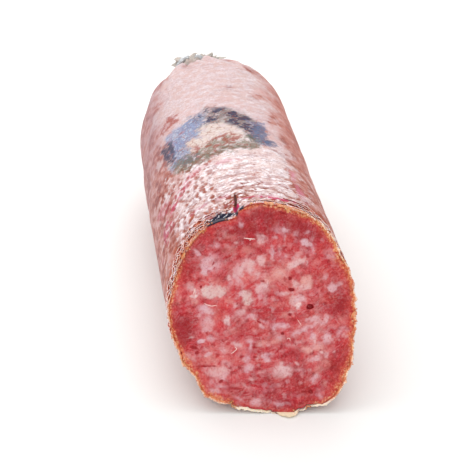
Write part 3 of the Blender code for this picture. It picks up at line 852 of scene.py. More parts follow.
def add_meat():
    steps = FACE_STEPS
    line = np.linspace(-1.0, 1.0, steps + 1)
    a, b = np.meshgrid(line, line)
    a, b = a.ravel(), b.ravel()
    flat = np.abs(a) > np.abs(b)
    rho = np.where(flat, np.abs(a), np.abs(b))
    safe_a, safe_b = np.where(a == 0, 1e-9, a), np.where(b == 0, 1e-9, b)
    angle = np.where(
        flat,
        np.where(a > 0, 0.0, math.pi) + (math.pi / 4) * b / safe_a,
        np.where(b > 0, 0.5, 1.5) * math.pi - (math.pi / 4) * a / safe_b,
    )
    turn = np.linspace(0.0, 2 * math.pi, 2881)
    radius = RADIUS - FILM
    rim = place(radius, turn, cut_row(radius, turn)) - CENTRE
    rim *= (1.0 + edge_wave(turn))[:, None]
    wrapped = angle % (2 * math.pi)
    out = np.column_stack([np.interp(wrapped, turn, rim[:, k]) for k in range(3)])
    # points spread evenly from the centre out to the edge
    shaped = rho
    points = CENTRE + out * shaped[:, None]
    flat_mm = np.column_stack([(points - CENTRE) @ ACROSS, (points - CENTRE) @ UPWARD]) / MM
    edge = (1.0 - shaped) * np.linalg.norm(out, axis=1) / MM
    looks, relief = face_fields(flat_mm, wrapped, edge)
    points = points + NORMAL * (relief * MM)[:, None]
    points[:, 2] = np.maximum(points[:, 2], 0.0002)

    n = steps + 1
    i, j = np.meshgrid(np.arange(steps), np.arange(steps), indexing="ij")
    corner = (i * n + j).ravel()
    faces = np.stack([corner, corner + 1, corner + n + 1, corner + n], -1).tolist()

    # the sides and the rounded far end, hidden by the casing
    loop = np.concatenate([
        np.arange(steps),
        steps + n * np.arange(steps),
        n * steps + steps - np.arange(steps),
        n * (steps - np.arange(steps)),
    ])
    around = wrapped[loop]
    count = len(loop)
    front = cut_row(radius, around)
    rings = []
    inner = radius - 0.0002
    for depth in (0.4, 1.5, 4.0, 9.0, 20.0, 55.0):
        dent = edge_wave(around) * edge_fade(np.degrees(around) % 360.0, np.full(count, depth))
        rings.append(place((inner - 0.0003) * (1.0 + dent), around, front + depth * MM, 0.0005))
    for y in (TUBE_LENGTH, TUBE_LENGTH + 0.55 * DOME_LENGTH, TUBE_LENGTH + 0.8 * DOME_LENGTH):
        into = (y - TUBE_LENGTH) / DOME_LENGTH
        rings.append(place(inner * fullness(y * 0.999) * (1.0 - 0.30 * into), around, y, 0.0005))
    start = len(points)
    pole = place(0.0, np.zeros(1), np.array([TUBE_LENGTH + 0.83 * DOME_LENGTH]))
    everything = np.concatenate([points, *rings, pole])
    ids = [loop] + [start + r * count + np.arange(count) for r in range(len(rings))]
    k = np.arange(count)
    m = (k + 1) % count
    for near, far in zip(ids, ids[1:]):
        faces += np.stack([near[k], far[k], far[m], near[m]], -1).tolist()
    last = len(everything) - 1
    faces += np.stack([ids[-1][k], np.full(count, last), ids[-1][m]], -1).tolist()

    extra = len(everything) - start
    values = {}
    for key, data in looks.items():
        pad = np.zeros((extra,) + data.shape[1:])
        values[key] = np.concatenate([data, pad])
    if outward(everything - CENTRE, faces) < 0:
        faces = [f[::-1] for f in faces]
    ob = mesh_piece("cut_meat", everything, faces, values)

    # an unwrap of its own, in which the cut face takes most of the square
    square = np.column_stack([a, b])
    uv = np.zeros((len(everything), 2))
    uv[:start] = 0.5 + square * 0.455
    for r in range(len(rings)):
        share = 0.455 + 0.036 * (r + 1) / len(rings)
        uv[start + r * count : start + (r + 1) * count] = 0.5 + square[loop] * share
    index = np.empty(len(ob.data.loops), np.int32)
    ob.data.loops.foreach_get("vertex_index", index)
    at = uv[index]
    tip = np.flatnonzero(index == last)  # the far cap takes the outermost sliver
    beside = at[tip - 1] + at[tip + 1] - 1.0
    at[tip] = 0.5 + beside * (0.499 / np.abs(beside).max(1))[:, None]
    layer = ob.data.uv_layers.new(name="OFBake")
    layer.uv.foreach_set("vector", at.astype(np.float32).ravel())

    ob.data.materials.append(meat_paint())
    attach(ob, "root")
    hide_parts("meat")
    return ob


def meat_paint():
    p = Paint("cured_meat_cut")
    fat, tone, warm = p.split(p.attribute("Marble", True))
    lilac, cream, salmon = p.split(p.attribute("Kinds", True))
    white = p.attribute("White")
    band, deep, _ = p.split(p.attribute("Edge", True))
    # the band's crinkle relief, used below for painted highlights on the raised crinkles
    crinkle_highlight = p.attribute("CrinkleHighlight")
    mid = p.noise(1.5, 3.0, 0.6)
    fine = p.noise(5.2, 2.0, 0.6)
    blotch = p.noise(0.75, 2.0, 0.5)

    level = p.add(p.mul(tone, 0.55), 0.44)
    level = p.add(level, p.mul(p.sub(mid, 0.5), 0.60))
    level = p.add(level, p.mul(p.sub(fine, 0.5), 0.44))
    flesh = p.ramp(level, MEAT_TONES)
    flesh = p.mix(p.mul(p.step(blotch, 0.44, 0.66), 0.22), flesh, MEAT_PURPLE)

    lard = p.mix(lilac, FAT_PINK, FAT_LILAC)
    lard = p.mix(cream, lard, FAT_CREAM)
    lard = p.mix(salmon, lard, FAT_SALMON)
    lard = p.mix(white, lard, FAT_WHITE)
    lard = p.mix(p.mul(p.step(mid, 0.44, 0.68), 0.45), lard, FAT_DEEPER)
    lard = p.mix(p.mul(p.step(fine, 0.52, 0.70), 0.30), lard, FAT_PALE)
    amount = p.add(fat, p.mul(p.sub(fine, 0.5), 0.30))
    amount = p.add(amount, p.mul(p.sub(mid, 0.5), 0.34))
    amount = p.math("MINIMUM", p.math("MAXIMUM", amount, 0.0), 1.0)
    body = p.mix(p.math("POWER", amount, 0.92), flesh, lard)
    body = p.mix(p.mul(warm, p.step(mid, 0.25, 0.75, 0.20, 0.75)), body, p.mix(amount, MEAT_WARM, FAT_SALMON))

    # the dried band's own orange to cream colour, lighter where its crinkles stand up: partly painted highlight
    crust = p.add(p.mul(crinkle_highlight, 0.22), p.mul(p.add(p.mul(fine, 0.55), p.mul(mid, 0.75)), 0.80))
    crust = p.add(p.mul(p.sub(crust, 0.63), 1.7), 0.57)
    crust = p.ramp(crust, BAND_TONES)
    body = p.mix(p.mul(band, p.step(mid, 0.34, 0.62, 0.55, 0.92)), body, crust)
    body = p.mix(p.mul(p.step(deep, 0.10, 0.85), 0.90), body, PIT_RED)
    crisp = p.noise(2.1, 1.0, 0.5)
    body = p.mix(p.mul(p.step(crisp, 0.46, 0.30), 0.24), body, MEAT_DEEP)
    body = p.mix(p.mul(p.step(crisp, 0.58, 0.78), 0.10), body, FAT_PALE)
    # painted glints: small white dots that stand in for wet highlights on the cut
    painted_glint = p.step(p.cell(2.6), 0.02, 0.09, 1.0, 0.0)
    body = p.mix(p.mul(painted_glint, 0.34), body, FAT_WHITE)

    rough = p.add(0.38, p.mul(mid, 0.24))
    rough = p.add(rough, p.mul(band, 0.08))
    height = p.add(p.mul(fine, 0.6), p.mul(mid, 1.0))
    height = p.add(height, p.mul(p.cell(3.1), 0.25))
    normal = p.bump(height, 0.42, 0.00022)
    return p.finish(
        body, rough, normal,
        Subsurface_Weight=0.22, Subsurface_Radius=(1.0, 0.38, 0.30), Subsurface_Scale=0.0009,
        Specular_IOR_Level=0.30,
    )


# ---- the casing ------------------------------------------------------------------------------
SKIN_COLUMNS = 344
FLAP = (280.2, 7.4, 2.9)  # centre and half width in degrees of the flap under the cut, length in mm


def skin_angles():
    """Angles round the section, closer together over the top and the left."""
    turn = np.linspace(-90.0, 270.0, 7201)
    weight = 1.0 + 0.9 * smoothstep(-10, 15, turn) * (1 - smoothstep(192, 215, turn))
    total = np.concatenate([[0.0], np.cumsum(0.5 * (weight[1:] + weight[:-1]))])
    share = np.arange(SKIN_COLUMNS) / SKIN_COLUMNS * total[-1]
    return np.radians(np.interp(share, total, turn))


def skin_depths():
    """Distances in mm behind the cut, growing slowly."""
    depths, step = [0.0, 0.10, 0.22, 0.36, 0.52, 0.70], 0.0
    length = TUBE_LENGTH / MM
    while depths[-1] < length:
        d = depths[-1]
        step = np.interp(d, [0, 7, 9, 24, 28, 55, 62, 114], [0.29, 0.30, 0.38, 0.42, 0.60, 0.66, 0.86, 0.92])
        depths.append(d + step)
    scale = length / depths[-1]
    return np.array(depths) * scale


def edge_reach(angle):
    """How far in mm the casing's edge stands in front of the cut plane, without the flap."""
    deg = np.degrees(angle) % 360.0
    p = np.stack([np.cos(angle), np.sin(angle)], -1) * 26.0
    reach = 0.10 + 0.22 * fbm(p / 2.6, 3, 101) + 0.12 * perlin(p / 0.8, 102)
    for at, half, amount in ((245.4, 1.9, -1.1), (293.4, 1.8, -0.9), (25.6, 1.6, 0.45), (6.4, 1.3, 0.5), (-27.7, 1.8, 0.4), (262, 9, 0.25), (312, 8, 0.3)):
        reach = reach + amount * hump(turn_gap(deg, at), 0.0, half, 0.6)
    return reach


def edge_fade(deg, near):
    """Share of the outline's unevenness left at some distance in mm behind the cut."""
    gathered = smoothstep(120, 136, deg) * (1 - smoothstep(178, 195, deg))
    return np.exp(-np.maximum(near, 0) / (6.0 - 3.6 * gathered))


def crumple(deg, depth, solid):
    """Folds that run along the cut at its upper left: height in mm and how much of the fold is open film."""
    ragged = 1.6 * fbm(solid / 2.2, 2, 112)
    zone = smoothstep(122, 127, deg + 2.0 * ragged) * (1 - smoothstep(150, 166, deg))
    zone = zone * smoothstep(-0.1, 0.3, depth) * (1 - smoothstep(2.6, 4.4, depth + ragged))
    side = smoothstep(150, 165, deg) * (1 - smoothstep(205, 222, deg)) * smoothstep(0.2, 0.8, depth) * (1 - smoothstep(2.6, 5.2, depth))
    drift = 1.7 * fbm(solid / np.array([9.0, 9.0, 6.0]), 2, 111)
    wave = np.sin(2 * math.pi * (depth / (1.15 + 0.1 * drift) + drift))
    fold = np.abs(wave) ** 1.0 * np.sign(wave)
    right = smoothstep(10, 26, deg) * (1 - smoothstep(62, 78, deg)) * (1 - smoothstep(2.6, 6.4, depth + 2.0 * ragged)) * 0.85
    film = np.maximum.reduce([zone, 0.85 * side, right])
    return (0.26 * zone + 0.15 * side + 0.07 * right) * fold, film * (0.55 + 0.45 * smoothstep(0.45, -0.6, wave))


def add_skin():
    angle = skin_angles()
    deg = np.degrees(angle)
    columns = len(angle)
    depths = skin_depths()
    front = cut_row(RADIUS, angle)
    reach = edge_reach(angle)
    flap = FLAP[2] * np.interp(turn_gap(deg, FLAP[0]), [-7.4, -6.0, -4.4, -1.8, 0.8, 3.4, 5.2, 6.4, 7.4], [0.0, 0.40, 0.84, 1.0, 0.98, 0.84, 0.58, 0.30, 0.0])
    flap *= 0.94 + 0.26 * fbm(np.column_stack([deg / 1.1, deg * 0]), 3, 104)

    ys, near = [], []
    for d in depths:
        share = d * MM / TUBE_LENGTH
        ys.append(front + (TUBE_LENGTH - front) * share)
        near.append(np.full(columns, d) * (TUBE_LENGTH - front) / TUBE_LENGTH)
    arc = 46
    for i in range(1, arc + 1):
        t = 0.5 * math.pi * i / arc
        y = TUBE_LENGTH + DOME_LENGTH * math.sin(t) * 0.9995
        ys.append(np.full(columns, y))
        near.append((y - front) / MM)
    ys, near = np.array(ys), np.array(near)
    body_rows = len(ys)

    grid_angle = np.broadcast_to(angle, ys.shape)
    grid_deg = np.broadcast_to(deg, ys.shape)
    y_mm = ys / MM
    solid = np.stack([26 * np.cos(grid_angle), 26 * np.sin(grid_angle), y_mm], -1).reshape(-1, 3)
    flat_deg, flat_near, flat_y = grid_deg.ravel(), near.ravel(), y_mm.ravel()

    # wrinkles that run round the sausage and a net of creases, finer and deeper near the cut
    warp = np.column_stack([fbm(solid / 9.0, 2, 121 + k) for k in range(3)])
    ripple = np.column_stack([fbm(solid / 2.4, 2, 126 + k) for k in range(3)])
    bent = solid + warp * np.array([2.0, 2.0, 1.5]) + ripple * np.array([0.7, 0.7, 0.45])
    n1 = perlin(bent / np.array([8.0, 8.0, 2.0]), 131)
    n2 = perlin(bent / np.array([4.6, 4.6, 1.15]) + 7.0, 132)
    n3 = perlin(bent / np.array([2.6, 2.6, 0.70]) + 3.0, 133)
    crease1 = np.exp(-((n1 / 0.085) ** 2))
    crease2 = np.exp(-((n2 / 0.11) ** 2))
    crease3 = np.exp(-((n3 / 0.15) ** 2))
    w1, w2, wa, wb, _ = cells(bent / np.array([3.6, 3.6, 2.3]), 145)
    v1, v2, va, vb, _ = cells(bent / np.array([2.0, 2.0, 1.35]) + 5.0, 146)
    sparse = smoothstep(8, 28, flat_near) * 0.30
    net1 = smoothstep(0.17, 0.05, w2 - w1) * smoothstep(-0.12, 0.16, fbm(solid / 2.4, 2, 147) - sparse)
    net2 = smoothstep(0.24, 0.07, v2 - v1) * smoothstep(0.02, 0.26, fbm(solid / 1.9, 2, 148) - sparse)
    spot = solid + 0.5 * ripple
    k1, _, ka, kb, _ = cells(spot / np.array([2.7, 2.7, 2.0]) + 3.0, 150)
    pits = smoothstep(0.36, 0.16, k1 + 0.10 * n3) * (ka < 0.30 - sparse) * (0.55 + 0.45 * kb)
    # the netted patch at the upper left, brown where the film sinks between white ridges; the brown in the hollows is
    # partly painted shade
    net = smoothstep(104, 120, flat_deg) * (1 - smoothstep(160, 180, flat_deg))
    net = net * smoothstep(1.5, 5.0, flat_near) * (1 - smoothstep(42, 62, flat_near))
    net = net * smoothstep(-0.45, 0.15, fbm(solid / 8.0, 2, 135) + 0.25)
    lattice = solid + 0.9 * np.column_stack([fbm(solid / 2.2, 2, 136 + k) for k in range(3)])
    c1, c2, ra, rb, rc = cells(lattice / np.array([1.5, 1.5, 2.2]), 139)
    hollow = smoothstep(0.56, 0.26, c1) * (ra < 0.86) * (0.45 + 0.55 * rb)
    netted = net * hollow

    closeness = (1.0 - smoothstep(16, 50, flat_near)) * (1.0 - 0.52 * smoothstep(9, 20, flat_near)) * (1.0 + 0.25 * smoothstep(8, 3, flat_near))
    patch = smoothstep(-0.45, 0.35, fbm(solid / np.array([10.0, 10.0, 7.0]), 2, 134))
    lively = (0.22 + 0.80 * closeness) * (0.55 + 0.50 * patch)
    plait = 1.0 - 0.62 * smoothstep(108, 124, flat_deg) * smoothstep(1.0, 4.0, flat_near)
    n1, n2, n3 = n1 * plait, n2 * plait, n3 * plait
    crease1, crease2, crease3, net1, net2 = crease1 * plait, crease2 * plait, crease3 * plait, net1 * plait, net2 * (0.4 + 0.6 * plait)
    topside = smoothstep(4, 30, flat_deg) * (1 - smoothstep(132, 160, flat_deg))
    lively = lively * (0.40 + 0.60 * topside)
    # ridge: the wrinkles' height, also used to paint the bloom greyish in the hollows and white on the ridges, partly
    # painted shade and painted highlight
    ridge = lively * np.clip(0.40 * n1 + 0.35 * n2 + 0.35 * n3 + 0.9 * (v2 - v1 - 0.35) + 0.5 * (w2 - w1 - 0.35), -1, 1)
    ridge = ridge * (1 - 0.70 * net) + net * np.clip(1.2 * (c1 - 0.58) + 0.45 * fbm(solid / 1.6, 2, 138), -0.5, 0.35)

    folds, film = crumple(flat_deg, flat_near, solid)
    slit_path = 101.0 + 0.28 * (22.6 - flat_y) + 0.5 * perlin(np.column_stack([flat_y / 2.6, flat_y * 0]), 141)
    slit_off = np.abs(turn_gap(flat_deg, slit_path)) * math.pi / 180 * 26
    slit_on = smoothstep(13.4, 14.2, flat_y) * (1 - smoothstep(22.6, 24.0, flat_y))
    slit = np.exp(-((slit_off / np.interp(flat_y, [14, 17, 22], [0.46, 0.46, 0.28])) ** 2)) * slit_on

    relief = (
        0.34 * fbm(solid / np.array([13.0, 13.0, 16.0]), 2, 142)
        + 0.10 * fbm(solid / 4.5, 2, 143)
        + lively * (0.15 * n1 + 0.07 * n2 + 0.04 * n3 - 0.12 * crease1 - 0.06 * crease2 - 0.03 * crease3 - 0.18 * net1 - 0.12 * net2 - 0.20 * pits)
        - 0.26 * netted
        + 0.05 * net * smoothstep(0.2, 0.6, c1)
        + 0.035 * perlin(solid / 0.9, 144)
        + folds
        - 0.42 * slit
        + 0.14 * np.exp(-(((slit_off - 0.75) / 0.35) ** 2)) * slit_on
    )
    relief *= smoothstep(0.0, 0.9, flat_near) * 0.85 + 0.15
    low = smoothstep(-0.5, -0.93, np.sin(np.radians(flat_deg)))
    relief = relief * (1 - 0.7 * low)

    # gathered folds that run into the neck
    into = np.clip((ys - TUBE_LENGTH - 0.12 * DOME_LENGTH) / (0.88 * DOME_LENGTH), 0, 1)
    ring = np.stack([np.cos(grid_angle), np.sin(grid_angle)], -1).reshape(-1, 2)
    wander = 0.35 * perlin(np.column_stack([ring * 1.4, flat_y / 9.0]), 151)
    phase = grid_angle.ravel() + wander * 0.35
    gather = (
        0.50 * np.cos(12 * phase + 1.5 * perlin(ring * 1.1, 152))
        + 0.34 * np.cos(21 * phase + 2.0 * perlin(ring * 1.7, 153))
        + 0.22 * np.cos(37 * phase + 1.0)
    ).reshape(ys.shape)
    fold_depth = 0.145 * into**2.2 + 0.012 * into
    fold = 1.0 + fold_depth * (gather - 0.25)
    soft_fold = gather.ravel()

    wave = edge_wave(grid_angle) * edge_fade(grid_deg, near)
    radius = RADIUS * fullness(ys) * (1.0 + wave) + relief.reshape(ys.shape) * MM * (fullness(ys) * 0.9 + 0.1)
    # the far end narrows to the neck, not to a point
    neck_blend = smoothstep(0.80, 1.0, (ys - TUBE_LENGTH) / DOME_LENGTH)
    radius = np.maximum(radius, NECK_RADIUS * (1.0 + 0.85 * (1 - neck_blend)))
    forward = np.zeros_like(ys)
    forward += (0.45 * reach - 0.34 + flap) * np.exp(-near / 0.45) * MM
    outer = place(radius, grid_angle, ys - forward, 0.0, fold)
    lifted = flap / max(FLAP[2], 1e-6) * np.exp(-near / 0.25)
    outer[..., 2] += lifted * 0.0005

    # neck and tuft
    tail_rows = []
    y0 = TIP
    tail = [(0.15, 1.75), (0.5, 1.35), (0.75, 1.12), (1.0, 1.0)]
    tail_y = [y0 + NECK_START * a for a, _ in tail] + [y0 + NECK_START + NECK_LENGTH * k / 5 for k in range(1, 6)]
    tail_r = [NECK_RADIUS * b for _, b in tail] + [NECK_RADIUS * (1 - 0.05 * math.sin(math.pi * k / 5)) for k in range(1, 6)]
    flare = 17
    for k in range(1, flare + 1):
        t = k / flare
        tail_y.append(y0 + NECK_START + NECK_LENGTH + TAIL_LENGTH * t)
        tail_r.append(NECK_RADIUS + (TAIL_RADIUS - NECK_RADIUS) * math.sin(0.5 * math.pi * min(1, t * 1.15)))
    ring2 = np.column_stack([np.cos(angle), np.sin(angle)])
    for k, (y, r) in enumerate(zip(tail_y, tail_r)):
        t = max(0.0, (y - y0 - NECK_START - NECK_LENGTH) / TAIL_LENGTH)
        frill = (
            0.50 * np.cos(9 * angle + 0.8 + 2.2 * t)
            + 0.36 * np.cos(17 * angle + 2.0 - 1.6 * t)
            + 0.24 * np.cos(31 * angle + 3.0 * t)
        )
        depth = 0.10 + 0.16 * smoothstep(0.0, 0.8, t)
        torn = 1.0 + t**3 * (0.05 * perlin(ring2 * 3.0, 161) + 0.02 * perlin(ring2 * 11.0, 162))
        along = y + t**2 * 0.0006 * perlin(ring2 * 3.0, 163)
        tail_rows.append(place(np.full(columns, r), angle, along, 0.0, (1.0 + depth * (frill - 0.2)) * torn))
    # the tuft is hollow: its rim turns in to a shallow, pleated cup
    for t, shrink in ((0.99, 0.86), (0.90, 0.70), (0.72, 0.5), (0.55, 0.26)):
        y = y0 + NECK_START + NECK_LENGTH + TAIL_LENGTH * t
        frill = 0.5 * np.cos(9 * angle + 0.8 + 2.2 * t) + 0.36 * np.cos(17 * angle + 2.0 - 1.6 * t)
        tail_rows.append(place(np.full(columns, tail_r[-1] * shrink), angle, np.full(columns, y), 0.0, 1.0 + 0.25 * frill))
    tail_rows = np.array(tail_rows)
    centre_y = y0 + NECK_START + NECK_LENGTH + TAIL_LENGTH * 0.52
    cup = place(0.0, np.zeros(1), np.array([centre_y]))

    # inside, from the cut back to the far end
    inner_rows = []
    inner_near = (0.0, 0.5, 1.5, 4.0, 12.0, 40.0, 80.0)
    for d in inner_near:
        y = front + (TUBE_LENGTH - front) * d * MM / TUBE_LENGTH
        w = 1.0 + edge_wave(angle) * edge_fade(deg, np.full(columns, d))
        push = (0.45 * reach - 0.34 + flap) * math.exp(-d / 0.45) * MM
        thin = FILM + 0.0002 * (d > 1)
        at = place(RADIUS * w - thin, angle, y - push, 0.0)
        at[:, 2] = np.maximum(at[:, 2], 0.00035 + (0.0005 * flap / FLAP[2] if d == 0 else 0.0))
        inner_rows.append(at)
    for y in (TUBE_LENGTH, TUBE_LENGTH + 0.5 * DOME_LENGTH, TUBE_LENGTH + 0.78 * DOME_LENGTH):
        into_dome = (y - TUBE_LENGTH) / DOME_LENGTH
        inner_rows.append(place((RADIUS - 0.0007) * float(fullness(np.array(y))) * (1.0 - 0.25 * into_dome), angle, np.full(columns, y), 0.0007))
    inner_rows = np.array(inner_rows)
    inner_pole = place(0.0, np.zeros(1), np.array([TUBE_LENGTH + 0.85 * DOME_LENGTH]))

    outer_all = np.concatenate([outer, tail_rows])
    rows_out, rows_in = len(outer_all), len(inner_rows)
    points = np.concatenate([outer_all.reshape(-1, 3), inner_rows.reshape(-1, 3), cup, inner_pole])
    faces = ring_faces(rows_out, columns)
    base = rows_out * columns
    faces += ring_faces(rows_in, columns, base, flip=True)
    k = np.arange(columns)
    m = (k + 1) % columns
    faces += np.stack([base + k, k, m, base + m], -1).tolist()  # the cut edge
    last = base + rows_in * columns
    end = (rows_out - 1) * columns
    faces += np.stack([end + k, np.full(columns, last), end + m], -1).tolist()
    end = base + (rows_in - 1) * columns
    faces += np.stack([end + m, np.full(columns, last + 1), end + k], -1).tolist()
    if outward(points - CENTRE, faces[: rows_out * columns]) < 0:
        faces = [f[::-1] for f in faces]

    # looks
    wide = fbm(solid / np.array([11.0, 11.0, 13.0]), 2, 171)
    mid = fbm(solid / np.array([4.2, 4.2, 3.2]), 3, 172)
    off_top = turn_gap(flat_deg, 100.0)
    back = smoothstep(42, 56, flat_y) * (1 - smoothstep(76, 96, flat_y))
    far_back = smoothstep(76, 100, flat_y)
    stray = 44.0 * wide + 26.0 * mid + 12.0 * fbm(solid / 1.9, 2, 174)
    top = np.where(
        off_top > 0,
        1.0 - smoothstep(28 - 10 * back + 3 * far_back, 72 - 18 * back + 10 * far_back, off_top + stray),
        1.0 - smoothstep(20 - 2 * far_back, 76 - 6 * far_back, -off_top + stray),
    )
    near_left = smoothstep(135, 150, flat_deg) * (1 - smoothstep(18, 45, flat_near))
    top = top * (1.0 - 0.45 * near_left)
    flank = smoothstep(-0.02, 0.40, wide + 0.8 * mid) * (0.40 + 0.26 * smoothstep(120, 160, flat_deg))
    spots = fbm(solid / np.array([2.3, 2.3, 2.6]), 3, 176)
    flank = flank * (0.45 + 1.05 * smoothstep(-0.08, 0.26, spots))
    flank = flank * (1.0 - 0.55 * smoothstep(62, 85, flat_y) * smoothstep(130, 150, flat_deg))
    pale_side = smoothstep(136, 148, flat_deg) * (1 - smoothstep(172, 188, flat_deg)) * smoothstep(20, 30, flat_y) * (1 - smoothstep(48, 60, flat_y))
    flank = flank + pale_side * (0.26 + 0.5 * mid)
    bloom = np.clip(np.maximum(top * (0.88 + 0.25 * mid), flank), 0, 1)
    # crease mask: the creases, pits and net lines get less bloom and a darker brown, partly painted shade
    creases = lively * np.maximum.reduce([0.60 * crease1, 0.40 * crease2, 0.25 * crease3, 0.95 * net1, 0.80 * net2, 1.0 * pits])
    creases = np.clip(creases * (0.85 + 0.8 * smoothstep(-0.4, 0.5, fbm(solid / 2.0, 2, 149))), 0, 1)
    flanks = np.maximum(smoothstep(128, 150, flat_deg), 1 - smoothstep(28, 52, flat_deg))
    shade = 0.5 + 1.0 * fbm(solid / np.array([6.0, 6.0, 9.0]), 2, 173) + (0.5 + 0.7 * flanks) * fbm(solid / np.array([2.0, 2.0, 2.4]), 2, 175)
    shade = np.clip(shade, 0, 1)

    rows_rest = len(points) - body_rows * columns
    def padded(data, fill=0.0):
        data = np.asarray(data)
        shape = (rows_rest,) + data.shape[1:]
        return np.concatenate([data, np.full(shape, fill)])

    tail_count = len(tail_rows) * columns
    tail_bloom = np.zeros(rows_rest)
    frill_tone = 0.5 + 0.5 * np.cos(np.tile(9 * angle + 0.8, len(tail_rows)))
    tail_bloom[:tail_count] = 0.55 + 0.35 * frill_tone
    cream = np.zeros(len(points))
    # cream along the bottom of the casing's cut edge and on its inner wall there: partly the edge's own pale colour,
    # partly painted light over the shaded gap under the lip
    flap_cream_and_edge_light = smoothstep(242, 250, deg) * (1 - smoothstep(298, 310, deg))
    flap_cream_and_edge_light = np.maximum(smoothstep(0.10, 0.45, flap / FLAP[2]), 0.95 * flap_cream_and_edge_light)
    cream[: body_rows * columns] = (flap_cream_and_edge_light[None, :] * np.exp(-near / 0.8)).ravel()
    at = (body_rows * columns) + tail_count
    for d in inner_near[:3]:
        cream[at : at + columns] = flap_cream_and_edge_light
        at += columns
    signed = np.where(flat_deg > 280, flat_deg - 360, flat_deg)
    is_top = smoothstep(-35, -20, signed) * (1 - smoothstep(212, 226, signed))
    place_of = np.column_stack([turn_gap(flat_deg, 100.0), flat_y, flat_near])
    values = {
        "Bloom": np.concatenate([bloom, tail_bloom]),
        "Crease": padded(creases),
        "Netted": padded(np.clip(netted, 0, 1)),
        "Film": padded(np.clip(film, 0, 1)),
        "Slit": padded(slit),
        "FlapCreamAndEdgeLight": cream,
        "Where": padded(place_of, 0.0),
        "OnTop": padded(is_top),
        "Shade": padded(shade, 0.5),
        "Ridge": padded(np.clip(0.5 + 0.9 * ridge, 0, 1), 0.5),
        "Gather": padded(np.clip(0.5 + 0.5 * soft_fold * np.clip(into.ravel() * 1.6, 0, 1), 0, 1), 0.5),
        "Far": np.concatenate([np.clip(into.ravel(), 0, 1), np.ones(rows_rest)]),
    }
    ob = mesh_piece("dried_skin", points, faces, values)
    ob.data.materials.append(skin_paint())
    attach(ob, "root")
    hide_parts("casing")
    return ob


